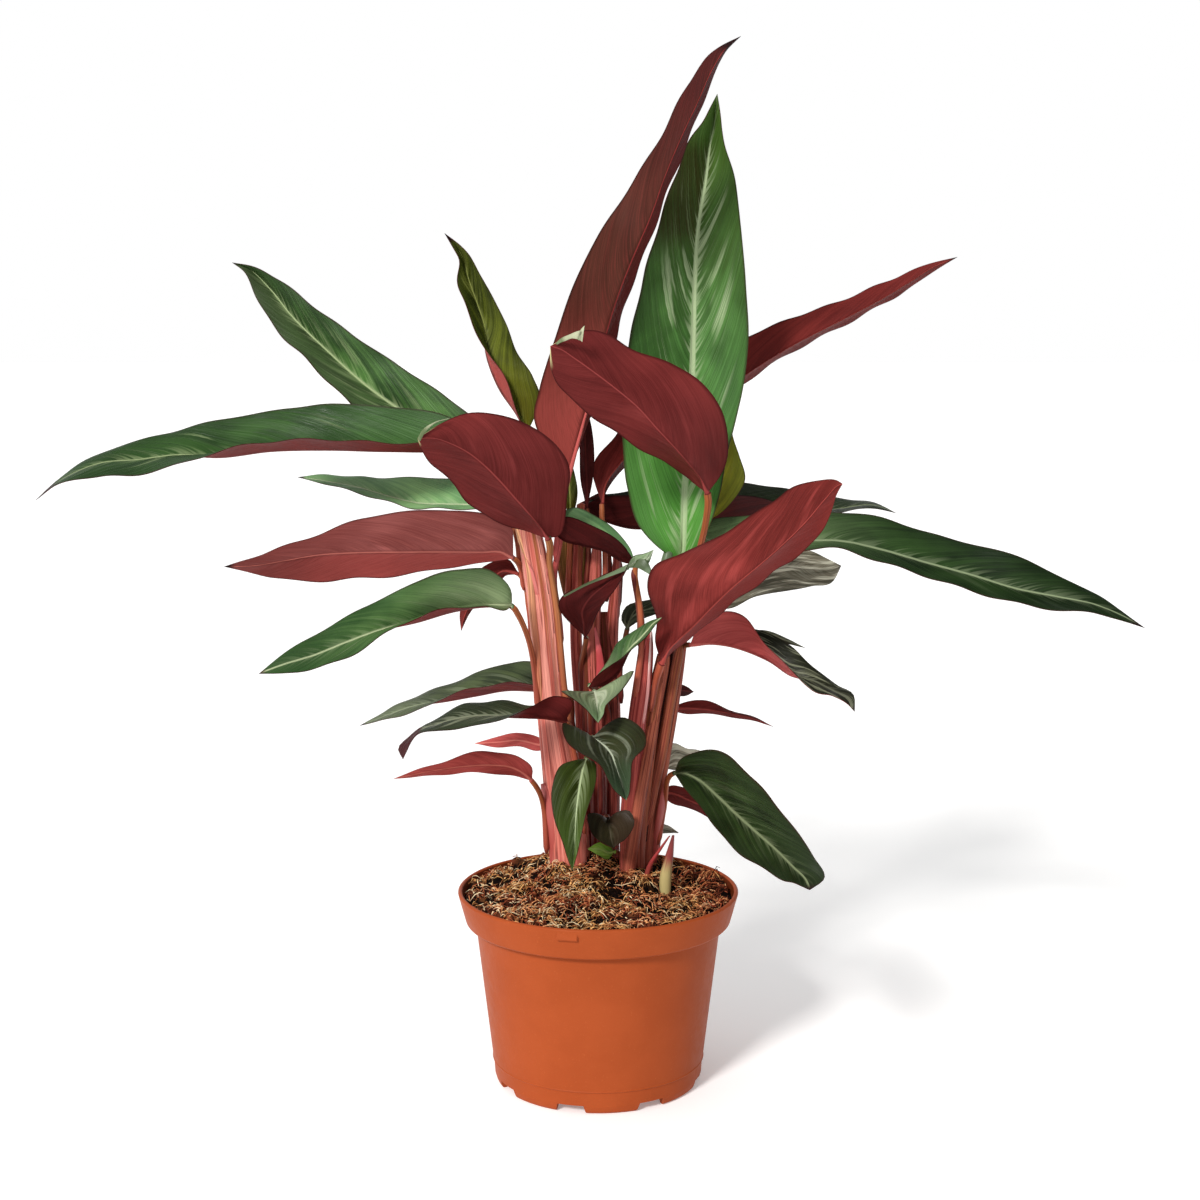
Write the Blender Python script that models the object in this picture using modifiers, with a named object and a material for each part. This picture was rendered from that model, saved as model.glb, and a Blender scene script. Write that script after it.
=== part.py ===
"""A potted stromanthe: long pointed leaves, green above and maroon beneath, on reddish shoots
that stand in coir soil in a terracotta-coloured nursery pot.

Units are metres, +Z is up, the viewer looks along +Y, and the origin is on the pot's axis where
it stands on the table. Plant points are in millimetres, as (across, height) seen on the upright
plane through the pot's axis from the eye at EYE, and each has its own depth behind that plane.
"""
import math

import bmesh
import bpy
import numpy as np

MM = 0.001
EYE = np.array((1.0, -1000.0, 401.0))
GAP = 0.35                  # clearance between touching pieces, mm

# Pot, mm
POT_HEIGHT = 105.7
RIM_RADIUS = 76.0
BAND_HEIGHT = 17.0
BAND_FOOT_RADIUS = 71.8
NECK_RADIUS = 66.4
BASE_RADIUS = 56.0
FOOT_WIDTH = 3.8
FLOOR_UNDERSIDE = 5.0
WALL = 2.2
POT_SIDES = 48
NOTCH_COUNT = 8
FIRST_NOTCH = -60.0         # degrees round from the front, plus to the right
NOTCH_WIDTH = 15.0
NOTCH_HEIGHT = 4.5
TAB_ANGLE = -12.0
TAB_SIZE = (11.0, 2.4, 4.2)

# Soil, mm
SOIL_LEVEL = 101.5
MOUND_HEIGHT = 14.0
MOUND_CENTRE = (-2.0, 24.0)
MOUND_SPREAD = 26.0
STUMP_DEPTH = 26.0          # how deep a shoot stands in the soil
STRAIGHT_TO = 118.0         # a shoot is upright and round below this height

# Leaves, mm
BLADE = 0.8                 # thickness
RIB_BULGE = 0.7             # extra depth of the midrib under the blade
LEAST_FOLD = 58.0           # smallest angle between a blade's two halves, degrees
ARCH = 0.15                 # how far each half arches over, as a share of its width
STALK_FOOT_RADIUS = 1.7
STALK_TOP_RADIUS = 0.9

GREEN = (0.10, 0.22, 0.09)
GREY_GREEN = (0.16, 0.20, 0.13)
OLIVE = (0.22, 0.24, 0.05)
DARK_GREEN = (0.05, 0.08, 0.03)
MAROON = (0.24, 0.045, 0.045)
DARK_MAROON = (0.09, 0.025, 0.025)
STEM_PINK = (0.55, 0.16, 0.12)
STEM_RED = (0.28, 0.07, 0.06)
TERRACOTTA = (0.55, 0.16, 0.065)
COIR = (0.20, 0.10, 0.045)

# Shoots: (across, height, depth, radius) up the core
SHOOTS = {
    "shoot_left": dict(colour=STEM_PINK, ridges=7, core=(
        (-14.5, 108, 30, 12.0), (-16.5, 140, 27, 11.0), (-20.3, 170, 24, 9.4),
        (-24.6, 200, 21, 7.6), (-27.3, 230, 17, 7.0), (-30.0, 260, 13, 6.8),
        (-34.5, 290, 9, 6.4), (-37.0, 308, 8, 5.2), (-36.0, 330, 8, 3.8), (-34.0, 346, 8, 2.2))),
    "stem_mid_left": dict(colour=STEM_RED, ridges=4, core=(
        (-5.0, 108, 46, 3.7), (-6.5, 150, 44, 3.5), (-9.0, 200, 40, 3.2),
        (-11.7, 240, 34, 3.0), (-10.8, 290, 26, 2.8), (-9.0, 314, 23, 2.2))),
    "stem_mid": dict(colour=STEM_RED, ridges=5, core=(
        (0.0, 108, 39, 3.9), (0.0, 150, 37, 3.9), (-1.0, 200, 33, 3.8),
        (-2.5, 240, 28, 3.6), (-1.2, 280, 22, 3.1), (-0.6, 295, 20, 2.2))),
    "stem_mid_right": dict(colour=STEM_RED, ridges=5, core=(
        (7.5, 108, 46, 4.3), (7.5, 150, 44, 4.3), (8.0, 200, 40, 4.1),
        (7.3, 240, 35, 3.4), (9.5, 275, 30, 2.3), (10.0, 287, 29, 1.7))),
    "stem_right_front": dict(colour=STEM_PINK, ridges=5, core=(
        (15.5, 108, 16, 4.2), (16.0, 140, 14, 4.2), (18.5, 170, 11, 4.3),
        (21.0, 200, 8, 4.3), (23.8, 220, 5, 4.2), (25.6, 240, 3, 3.4), (26.2, 252, 2, 2.2))),
    "stem_right_mid": dict(colour=STEM_RED, ridges=5, core=(
        (21.2, 108, 24, 4.3), (21.8, 140, 23, 4.2), (25.2, 170, 20, 3.9),
        (29.0, 200, 15, 3.7), (32.4, 222, 10, 3.3), (34.5, 234, 8, 2.6))),
    "stem_right_back": dict(colour=STEM_RED, ridges=5, core=(
        (24.7, 108, 34, 4.6), (26.2, 130, 33, 4.5), (29.5, 150, 32, 4.3),
        (33.0, 170, 30, 4.2), (38.0, 200, 26, 4.1), (41.5, 225, 23, 4.0),
        (44.0, 245, 21, 3.6), (47.0, 270, 19, 3.0), (48.8, 290, 18, 2.1))),
}

# Two young shoots that have just come through the soil, as cores too
BUDS = {
    "bud_blade": dict(colour=STEM_PINK, ridges=3, core=(
        (25.6, 108, 14, 1.5), (28.0, 118, 13, 1.5), (33.0, 126, 10, 1.0), (38.6, 134.2, 8, 0.45))),
    "bud_spear": dict(colour=STEM_PINK, ridges=3, core=(
        (36.4, 102, 3, 3.2), (36.6, 112, 3, 3.3), (38.4, 122, 2, 2.4), (40.6, 134.5, 1, 0.6))),
}

# Leaves. Each row crosses the blade: first edge, midrib and its depth, second edge. The first and
# last rows are the blade's base and tip. `seen` is the side of the first half that faces the
# viewer, `half` is the two halves' real width, and `fold` says whether each half leans away from
# the viewer (+1) or towards them (-1). `foot` is where the stalk leaves its shoot: the shoot, the
# angle round it from the front, and the heights between which the stalk lies along it.
LEAVES = {
    "leaf_left_long": dict(
        seen="top", half=(25, 25), fold=(1, -1), colour=GREEN,
        foot=("shoot_left", -150, 300, 318), stalk=((-50, 340, 20),),
        rows=((-60, 348.5, 20), (-80, 361, -82, 343, 22, -80, 347),
              (-110, 365.5, -110, 342.3, 25, -110, 346.5),
              (-141, 367.5, -142, 344, 26, -142, 349.3),
              (-166, 365, -172, 343.5, 24, -172, 348.5),
              (-198, 360, -200, 340.3, 18, -200, 343.5),
              (-218, 355.5, -221, 341, 12, -221, 336.5),
              (-237, 350.5, -242, 338.5, 6, -243, 331),
              (-259, 344.5, -263, 336.5, -2, -263, 329.5),
              (-273, 337.5, -275, 333, -8, -276, 328.5),
              (-282, 328.8, -283, 327.6, -11, -283.5, 326.3), (-296, 317.5, -15))),
    "leaf_left_high": dict(
        seen="top", half=(21, 21), fold=(-1, -1), colour=GREEN,
        foot=("shoot_left", 180, 318, 332), stalk=((-46, 345, 30),),
        rows=((-58, 343, 38), (-62, 356, -76, 349, 46, -86, 341),
              (-80, 371, -96, 359, 56, -112, 354), (-104, 387.5, -121, 377, 68, -133, 371.5),
              (-130, 405, -141, 395, 80, -152, 391), (-152, 420.5, -160, 413, 92, -168.5, 408),
              (-167, 432, -171, 427, 102, -178, 422.5),
              (-180, 438, -181.5, 436.8, 108, -184, 435.5), (-190, 440, 112))),
    "leaf_olive_narrow": dict(
        seen="top", half=(13, 12), fold=(-1, -1), colour=OLIVE,
        foot=("shoot_left", 120, 322, 336), stalk=(),
        rows=((-37, 352, 20), (-31, 366, -42, 362, 22, -38.5, 360),
              (-34, 381, -52, 376, 25, -46.5, 376), (-43, 395, -58.5, 394, 28, -56.5, 392),
              (-47.5, 408, -59.5, 407.5, 31, -65, 407), (-54, 420, -63, 419, 34, -70, 420),
              (-60.5, 433, -67.5, 432, 37, -73, 431), (-67, 443.5, -71, 442, 40, -73.2, 441),
              (-74.5, 448.5, -75.2, 448, 42, -76, 447.5), (-80.5, 454.5, 45))),
    "leaf_spoon_left": dict(
        seen="under", half=(31, 27), fold=(1, 1), colour=MAROON,
        foot=("shoot_left", 62, 196, 282), stalk=(),
        rows=((-26.5, 296, -8), (-20, 298.5, -31, 303, -14, -36, 299),
              (-16.5, 315, -37, 310, -24, -46, 302.5), (-15, 333, -44.5, 318.5, -34, -58, 307),
              (-22, 345.5, -52, 327, -43, -68.5, 314.5), (-36, 355.5, -60, 335, -52, -75.5, 324),
              (-52, 361.5, -69, 342, -62, -83, 331), (-68, 362, -78, 346.5, -71, -89.5, 337.5),
              (-82, 357, -86, 349, -79, -93, 343), (-95, 349, -85))),
    "leaf_left_mid": dict(
        seen="top", half=(16, 13), fold=(1, -1), colour=GREEN,
        foot=("shoot_left", -110, 282, 296), stalk=(),
        rows=((-48, 310, 18), (-58, 320, -61, 313, 26, -60, 311.3),
              (-75, 327, -78, 313.8, 38, -78, 311.8), (-92, 328.3, -95, 314.5, 50, -95, 311.8),
              (-110, 328.3, -110, 318, 62, -110, 315), (-126, 328.5, -127, 323, 74, -127, 320.3),
              (-143, 330, -143, 326, 86, -143, 324.5), (-158.5, 328.5, 98))),
    "leaf_left_red": dict(
        seen="under", half=(24, 19), fold=(1, 1), colour=MAROON,
        foot=("shoot_left", -80, 248, 260), stalk=((-42.4, 272, 8),),
        rows=((-45, 285.5, 4), (-47, 297, -51, 289, 2, -51, 286),
              (-58, 303.8, -62, 289, 0, -61, 284.3), (-80, 309.5, -82, 289, -4, -82, 281.8),
              (-103, 310, -104, 288.8, -10, -104, 277), (-126, 306.3, -126, 288.5, -18, -126, 274.8),
              (-148, 298.3, -148, 287.2, -28, -148, 273), (-168, 291.2, -167, 284, -40, -168, 274.3),
              (-183, 286, -182, 281.5, -50, -183, 277.5), (-197, 281.5, -60))),
    "leaf_left_red_small": dict(
        seen="under", half=(9, 8), fold=(1, 1), colour=MAROON,
        foot=("shoot_left", -125, 240, 258), stalk=(),
        rows=((-42, 277, 16), (-48, 285, -50, 279, 16, -49, 276),
              (-60, 281.5, -57, 274, 17, -53, 271), (-71, 266, -67.5, 262, 18, -63.5, 262),
              (-73.3, 254, -71.7, 253, 19, -70, 253.3), (-73, 246.5, 20))),
    "leaf_left_green": dict(
        seen="top", half=(21, 17), fold=(1, -1), colour=GREEN,
        foot=("shoot_left", -48, 205, 226), stalk=((-38.5, 246, -2), (-42.5, 255, -8)),
        rows=((-46, 259.8, -14), (-46, 267, -49, 261, -18, -49, 259),
              (-55, 278, -60, 259.8, -24, -60, 259.5), (-75, 279.5, -77, 257, -36, -77, 258.8),
              (-96, 273, -96, 252.6, -50, -96, 255), (-115, 263.5, -115, 247.3, -64, -115, 245),
              (-134, 253, -134, 240.3, -78, -134, 233), (-152, 242.5, -152, 232.8, -92, -152, 226.8),
              (-168, 233, -167, 228, -104, -167, 223.8), (-181.5, 223.3, -115))),
    "leaf_left_behind": dict(
        seen="top", half=(16, 12), fold=(1, -1), colour=OLIVE,
        foot=("stem_mid_left", -105, 178, 196), stalk=(),
        rows=((-17, 214, 47), (-24, 225, -25, 214.3, 49, -25, 216.3),
              (-34, 229.7, -34, 214.4, 52, -34, 217.5), (-48, 229, -48, 214.6, 58, -48, 218.3),
              (-65, 223.5, -65, 212.8, 68, -65, 217), (-82, 215.5, -82, 209.3, 80, -82, 211.8),
              (-97, 210.5, -97, 206, 92, -97, 204.2), (-112, 204, -112, 201, 104, -112, 199),
              (-121, 199, -121.5, 197.3, 112, -121.5, 196.5), (-128, 195, 118))),
    "leaf_left_twisted": dict(
        seen="top", half=(12, 12), fold=(1, -1), colour=GREY_GREEN,
        foot=("shoot_left", 58, 158, 180), stalk=(),
        rows=((-17.5, 197.5, 0), (-17, 205, -19.5, 198.3, -3, -15.5, 209),
              (-27, 207, -27, 199.7, -6, -22.5, 211.8), (-37, 206.3, -37, 199.9, -10, -35, 205.3),
              (-48, 208.6, -47, 200, -15, -46.5, 200.8), (-60, 208.2, -60, 201, -22, -60, 197),
              (-72, 208.3, -73, 200, -30, -73, 194.8), (-85, 200.5, -86, 196.8, -38, -86, 193.6),
              (-96.5, 195, -97.5, 192.8, -46, -98, 190.8), (-101, 190.8, -101.5, 189.5, -49, -101, 188),
              (-108.5, 183.5, -106, 183, -52, -103.3, 183), (-105.5, 178, -54))),
    "leaf_left_pink": dict(
        seen="under", half=(6, 5), fold=(1, 1), colour=MAROON,
        foot=("shoot_left", -158, 144, 160), stalk=(),
        rows=((-25, 184, 40), (-31, 188.3, -31, 184.6, 43, -31, 181.5),
              (-42, 191, -42, 187, 50, -42, 183.5), (-54, 189, -54, 186, 58, -54, 183.2),
              (-66.5, 185.3, 66))),
    "leaf_left_low": dict(
        seen="under", half=(10, 8), fold=(1, 1), colour=MAROON,
        foot=("shoot_left", -66, 126, 150), stalk=(),
        rows=((-36, 165, 6), (-35.3, 171, -39, 168, 3, -38.5, 165.6),
              (-42, 177.5, -46, 172, -3, -46, 167.5), (-55, 180.6, -58, 173.5, -14, -58, 168.9),
              (-67, 180.8, -70, 173, -25, -70, 169.2), (-83, 175.3, -84, 171.2, -38, -84, 168.2),
              (-98, 170.3, -98, 168.5, -50, -98, 167.2), (-110.5, 165.8, -60))),
    "leaf_crown_red": dict(
        seen="under", half=(25, 20), fold=(1, 1), colour=MAROON,
        foot=("shoot_left", 112, 238, 272), stalk=((-19.5, 300, 13), (-18.5, 318, 11)),
        rows=((-15, 334, 8), (-26, 344, -12.2, 344, 6, -10, 344),
              (-33.5, 358, -8.3, 358, 4, -5, 358), (-31, 374, -4.3, 374, 2, 0, 374),
              (-21.5, 401, 2.8, 401, -2, 8.5, 401), (-12, 431, 11.7, 427, -6, 16, 426),
              (0, 455, 20, 446, -9, 24.5, 444), (12, 473, 28.5, 463, -12, 31.5, 462),
              (26, 494, 36.8, 482, -16, 38.7, 481), (37.5, 516, 45.5, 506, -22, 47, 505),
              (47.5, 534, 53, 527.5, -28, 57, 528), (55, 543, 59.5, 538.5, -32, 61.5, 538),
              (63, 547.6, 64, 546, -35, 64, 544.5), (73, 554, -38))),
    "leaf_crown_green": dict(
        seen="top", half=(37, 27), fold=(-1, -1), colour=GREEN,
        foot=("stem_right_back", -60, 238, 256), stalk=((44, 274, 14),),
        rows=((44, 284, 14), (36, 288, 45, 291, 15, 52, 290),
              (22, 302, 45.5, 305, 18, 59, 302), (15.5, 322, 46, 322, 22, 64.5, 322),
              (13, 345, 47.5, 345, 25, 69, 345), (13.5, 375, 49, 375, 28, 76, 375),
              (17.5, 400, 49.5, 400, 30, 78.5, 400), (24, 430, 50, 430, 32, 76.3, 430),
              (31.5, 460, 51.8, 460, 34, 73.3, 460), (40, 484, 55.3, 482, 36, 69.8, 482),
              (50, 506, 58.5, 503, 38, 64, 503), (58.3, 518, 60.2, 516, 39, 62, 515),
              (61.5, 524.5, 40))),
    "leaf_spoon_right": dict(
        seen="under", half=(35, 26), fold=(1, 1), colour=MAROON,
        foot=("stem_right_back", 25, 256, 272), stalk=((54, 291, 3), (57, 305, -2)),
        rows=((57.7, 320, -8), (64, 329, 54, 328, -12, 50.5, 325),
              (68.8, 343, 48.5, 335, -22, 45, 330.5), (66, 360, 41, 343.5, -32, 35, 336),
              (55, 377.5, 31.5, 353.5, -42, 23, 343), (38, 388, 20.5, 365.5, -51, 9, 352),
              (20, 394.5, 9, 375, -59, -3, 360), (5, 403, -3, 384, -66, -14, 369.5),
              (-8, 405, -13, 391, -72, -22.5, 379), (-18, 401, -20, 395.5, -77, -25, 388),
              (-25, 397, -80))),
    "leaf_mid_folded": dict(
        seen="top", half=(18, 17), fold=(1, -1), colour=DARK_MAROON,
        foot=("stem_right_front", -28, 212, 234), stalk=((22, 262, -4), (19.5, 277, -2)),
        rows=((19.3, 284, -2), (17.3, 290, 13, 285, -1, 16, 288.5),
              (12, 298, 3, 288.3, 1, 8, 296.5), (0, 307, -9, 293, 4, -4, 303.5),
              (-12, 314, -16, 300, 5, -13, 310), (-21.5, 312, 5))),
    "leaf_olive_behind": dict(
        seen="top", half=(14, 14), fold=(-1, -1), colour=OLIVE,
        foot=("stem_right_back", 150, 262, 278), stalk=((52, 294, 36),),
        rows=((56.5, 304, 46), (54, 313, 60.5, 313, 50, 68, 312),
              (50, 325, 63.5, 325, 54, 77, 325), (54, 339, 65, 340, 57, 74.5, 339),
              (61, 350, 66, 350, 59, 71, 350), (69, 358, 61))),
    "leaf_olive_sliver": dict(
        seen="top", half=(5, 5), fold=(-1, -1), colour=OLIVE,
        foot=("stem_mid_left", -60, 262, 282), stalk=(),
        rows=((-14.5, 304, 22), (-18, 318, -15, 318, 22, -11, 318),
              (-18.5, 330, -15.5, 331, 23, -12.3, 330), (-16, 343, 24))),
    "leaf_erect_narrow": dict(
        seen="under", half=(4.5, 4.5), fold=(1, 1), colour=DARK_MAROON,
        foot=("stem_mid", -120, 270, 286), stalk=(),
        rows=((-6, 312, 25), (-9, 326, -6, 326, 25, -3, 326),
              (-9.8, 341, -6.5, 341, 25, -2, 341), (-9.3, 354, -6.8, 354, 25, -3.2, 354),
              (-8, 372, 25))),
    "leaf_front_hanging": dict(
        seen="top", half=(15, 9.5), fold=(-1, -1), colour=GREEN,
        foot=("shoot_left", 44, 138, 158), stalk=((-8, 173, 9),),
        rows=((-6.5, 177, 2), (-12, 176.3, -8, 173.5, -3, -1.5, 174.5),
              (-20, 173.5, -9, 168, -7, -1, 168), (-25, 161, -10.5, 158, -12, -2.8, 157.5),
              (-24, 146.5, -11.8, 146, -16, -6.3, 146), (-20.2, 132.5, -12.5, 133.5, -20, -9.8, 133),
              (-16.3, 123, -13.3, 123, -23, -12.3, 123), (-14, 115, -25))),
    "leaf_front_heart": dict(
        seen="top", half=(21, 24), fold=(-1, -1), colour=DARK_GREEN,
        foot=("stem_mid", 14, 148, 168), stalk=((-0.5, 184, 22),),
        rows=((-3, 188.5, 6), (-12, 192.5, -1, 187, 1, 4, 195.5),
              (-19, 196.5, 1.5, 185, -6, 14, 199.5), (-17, 187.5, 4.5, 182.5, -13, 24, 193),
              (-9, 179.5, 7.5, 178.5, -21, 25.3, 184.5), (0, 173.3, 9.5, 173, -29, 18.5, 176.5),
              (7, 166, 11.8, 166, -37, 16.6, 166), (12, 158.5, 13.8, 159.5, -44, 15.8, 159),
              (15.2, 154, -50))),
    "leaf_front_pale": dict(
        seen="top", half=(19, 22), fold=(-1, -1), colour=GREY_GREEN,
        foot=("stem_mid", -34, 176, 192), stalk=((-4.2, 206.5, 20),),
        rows=((-2, 213.5, 10), (-11, 214, -1.5, 211.5, 4, 9, 219),
              (-19.5, 214.3, -1, 209.5, -3, 19, 225), (-14, 209.5, -0.6, 207, -10, 12, 214.5),
              (-7.5, 204, -0.3, 204, -16, 4, 206.5), (-2.7, 200.8, 0, 200.5, -21, 2, 201.5),
              (0, 196.5, -26))),
    "leaf_front_folded": dict(
        seen="top", half=(9, 7), fold=(1, -1), colour=GREEN,
        foot=("stem_mid_right", -20, 182, 200), stalk=((0.5, 214, 21),),
        rows=((-4.5, 217, 12), (1.5, 226.5, 1, 217.8, 8, -2, 221.3),
              (6, 234.5, 9, 222.5, 2, 6, 228.3), (13, 242.5, 17, 236, -6, 16, 234.5),
              (22, 248.5, 24.5, 244, -14, 25, 242.5), (29, 252.3, 30, 250.5, -20, 30.5, 249.8),
              (34.5, 254, -24))),
    "leaf_front_red": dict(
        seen="under", half=(13, 9), fold=(1, -1), colour=DARK_MAROON,
        foot=("stem_mid_left", 20, 206, 226), stalk=(),
        rows=((-6.5, 243, 16), (-14, 250, -7, 250, 10, -4, 247.5),
              (-21, 260.5, -8, 258, 2, -1, 254.5), (-17, 267, -4, 264.5, -5, 3, 261),
              (-6, 270.8, 4, 271, -12, 8, 268), (6, 278, 12, 277, -18, 14, 277),
              (18, 281, 19, 283.5, -23, 19, 286.5), (25.5, 281, 25, 284.5, -27, 24.5, 288),
              (29.5, 290, -30))),
    "leaf_front_low": dict(
        seen="top", half=(12, 13), fold=(-1, -1), colour=DARK_GREEN,
        foot=("stem_mid", 10, 127, 140), stalk=((4.0, 144.5, 20),),
        rows=((5, 143.5, 8), (0, 147, 5.3, 141.5, 5, 10, 147),
              (-5.3, 146.5, 5.8, 139.5, 1, 17, 148), (-4.8, 139, 6.4, 137, -3, 19.5, 141.5),
              (-1.5, 132.5, 7, 133, -7, 15.5, 133.8), (4, 129, 7.8, 130, -11, 11, 130),
              (8.5, 127.5, -14))),
    "leaf_front_bright": dict(
        seen="top", half=(5, 5), fold=(-1, -1), colour=GREEN,
        foot=("stem_right_front", -120, 121, 124), stalk=(),
        rows=((8.8, 125.5, 17), (7, 128, 6, 125, 15, 6.2, 121.8),
              (0.5, 131, 0, 127, 11, 0, 123.5), (-5.8, 127, 8))),
    "leaf_right_high": dict(
        seen="under", half=(21, 19), fold=(1, 1), colour=MAROON,
        foot=("stem_mid", 100, 268, 286), stalk=(),
        rows=((2, 314, 25), (-3, 331, 2.5, 322, 28, 3.5, 319),
              (9, 350, 10, 334.5, 34, 11, 331), (30, 371, 32, 350, 52, 34, 346),
              (55, 388, 56, 366, 68, 58, 361), (79, 401.5, 80, 383, 80, 80, 379),
              (100, 410.3, 101, 396, 92, 102, 393), (125, 418.3, 126, 409, 104, 127, 406.7),
              (146, 427, 147, 420, 115, 148, 418), (163, 434.5, 163.5, 430, 124, 164, 428),
              (173, 438.3, 174, 437.6, 129, 174.5, 437), (185, 442.3, 134))),
    "leaf_right_tucked": dict(
        seen="top", half=(27, 23), fold=(1, -1), colour=DARK_MAROON,
        foot=("stem_mid_right", 150, 258, 280), stalk=(),
        rows=((8, 306, 36), (14, 321, 18, 304.5, 44, 14, 320),
              (36, 325, 37, 302.5, 56, 35, 321), (60, 325.5, 62, 304, 70, 60, 321),
              (82, 325, 83, 305.5, 84, 82, 318), (105, 321, 106, 308, 98, 106, 313),
              (127, 317, 128, 311.5, 112, 128, 310), (145, 315.3, 146, 313.3, 122, 146, 312),
              (157.5, 309.5, 128))),
    "leaf_mid_red": dict(
        seen="under", half=(9, 8), fold=(1, 1), colour=DARK_MAROON,
        foot=("stem_mid_right", -120, 262, 280), stalk=(),
        rows=((3, 302, 38), (6.5, 309, 3, 307, 39, 0, 306), (7, 317, 2, 314, 40, -3, 312),
              (2, 320.5, -2, 317, 41, -6, 314), (-9, 315, 42))),
    "leaf_right_front": dict(
        seen="under", half=(36, 26), fold=(1, 1), colour=MAROON,
        foot=("stem_right_mid", -15, 196, 214), stalk=(),
        rows=((34, 229, -4), (31, 240, 37.5, 236, -10, 40, 235.5),
              (31, 251, 43, 242, -18, 46, 240.5), (26.7, 268, 51.5, 250, -30, 55, 247),
              (29, 280.5, 61, 260, -42, 65.5, 256.5), (46, 289, 72.5, 271, -56, 77, 265.5),
              (68, 299.5, 84.5, 281, -70, 90, 275.5), (88, 313, 97, 292, -86, 102.5, 284.5),
              (104, 323.5, 110, 305, -102, 115, 295), (117, 327, 120, 317, -116, 123, 309.5),
              (126, 326.8, 126.5, 324, -126, 126.5, 320.5), (129, 325, -131))),
    "leaf_right_long": dict(
        seen="top", half=(21, 17), fold=(1, -1), colour=DARK_GREEN,
        foot=("stem_right_back", 85, 254, 270), stalk=(),
        rows=((60, 286, 22), (72, 299, 76, 291, 23, 77, 285.5),
              (100, 309, 102, 294, 24, 102, 289.5), (128, 310, 130, 294, 24, 130, 290),
              (150, 306.5, 150, 289.7, 23, 150, 284), (175, 298.3, 174, 282.8, 20, 174, 276.2),
              (200, 292, 199, 276, 16, 198, 268), (225, 285, 222, 269, 12, 221, 261.8),
              (248, 274, 246, 264.3, 7, 245, 257.5), (266, 265, 264, 260, 3, 264, 256.2),
              (274.5, 258, 275, 255.8, 1, 275.5, 253.4), (290.5, 248.5, -2))),
    "leaf_right_grey": dict(
        seen="top", half=(14, 13), fold=(1, -1), colour=GREY_GREEN,
        foot=("stem_right_back", 100, 226, 242), stalk=(),
        rows=((54, 262, 32), (62, 275, 66, 267, 40, 68, 259.8),
              (80, 287, 84, 277, 52, 84, 266.3), (97, 291.5, 100, 281, 64, 100, 269.5),
              (112, 289.5, 114, 280, 74, 114, 272.5), (122, 283.8, 123, 279.5, 80, 123, 275),
              (129, 280, 84))),
    "leaf_right_twisted": dict(
        seen="top", half=(15, 15), fold=(1, -1), colour=GREY_GREEN,
        foot=("stem_right_back", 60, 204, 220), stalk=(),
        rows=((49, 239, 12), (54, 246, 56, 240.3, 11, 54, 251),
              (66, 248, 68, 239.3, 8, 66, 256.5), (80, 248, 80, 235.7, 4, 79, 252.5),
              (93, 245.5, 92, 230, 0, 90, 238), (104, 239, 103, 222.8, -5, 102, 226),
              (115, 227.5, 114, 219.5, -11, 115, 215), (127, 217.5, 126, 213.5, -17, 126, 211),
              (135.5, 211.5, 134.5, 209.5, -21, 133, 208), (136.8, 204, -23))),
    "leaf_right_sliver": dict(
        seen="top", half=(3, 3), fold=(1, -1), colour=GREY_GREEN,
        foot=("stem_right_back", 118, 208, 222), stalk=((56, 238, 34),),
        rows=((70, 243, 40), (85, 247, 85, 245.5, 46, 85, 244),
              (100, 242.8, 101, 241, 54, 101, 239.5), (110.5, 237.3, 60))),
    "leaf_mid_grey": dict(
        seen="top", half=(7, 7), fold=(-1, -1), colour=DARK_GREEN,
        foot=("stem_mid_right", 50, 208, 226), stalk=((14, 240, 26),),
        rows=((15.5, 247.5, 22), (12.5, 252, 16.5, 251.5, 22, 18, 249.5),
              (15, 260, 21, 256, 21, 23, 253), (25, 263, 28, 258.5, 21, 29, 255),
              (34, 263.5, 35, 260, 20, 36, 257), (43, 261, 20))),
    "leaf_right_thin": dict(
        seen="under", half=(6, 5), fold=(1, 1), colour=MAROON,
        foot=("stem_right_back", 165, 176, 192), stalk=(),
        rows=((38, 204, 42), (44, 207, 44, 204.5, 46, 44, 202),
              (57, 209, 57, 204, 56, 57, 201.7), (70, 203.5, 70, 201.8, 66, 70, 200),
              (82, 200.2, 82, 199.2, 76, 82, 198.2), (94, 194.5, 86))),
    "leaf_right_curl": dict(
        seen="under", half=(4, 4), fold=(1, 1), colour=DARK_MAROON,
        foot=("stem_right_back", -165, 190, 204), stalk=(),
        rows=((38, 213, 42), (43, 217.3, 43.5, 214.3, 46, 43, 211.3),
              (48, 216, 48, 213.8, 52, 48, 211.6), (51, 213.5, 56))),
    "leaf_right_low": dict(
        seen="top", half=(26, 22), fold=(-1, -1), colour=DARK_GREEN,
        foot=("stem_right_back", 72, 130, 150), stalk=(),
        rows=((41, 169, 12), (44, 176.5, 46.5, 169, 6, 44.5, 163.5),
              (55, 181.3, 54, 165.5, -2, 50.5, 155.5), (70, 179, 64, 156.5, -16, 58.5, 146),
              (84, 166.5, 75, 146, -32, 67.5, 135), (97, 152.5, 86, 136, -48, 77.5, 125),
              (108, 137, 97, 126, -64, 90, 116), (117.5, 122, 106, 116.5, -79, 101, 109.5),
              (122.5, 110, 112.5, 109.5, -90, 108, 107.2), (115, 104, -96))),
    "leaf_right_low_red": dict(
        seen="under", half=(8, 7), fold=(1, 1), colour=MAROON,
        foot=("stem_right_back", 112, 124, 136), stalk=(),
        rows=((33, 158, 42), (37.5, 161.5, 38.5, 158, 44, 37.5, 153.8),
              (47, 161, 49, 154, 50, 47, 150.3), (60, 153, 61, 148, 58, 59, 144.8),
              (71, 143, 71, 140, 66, 70, 138), (80, 132, 74))),
    "leaf_right_low_grey": dict(
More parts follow.
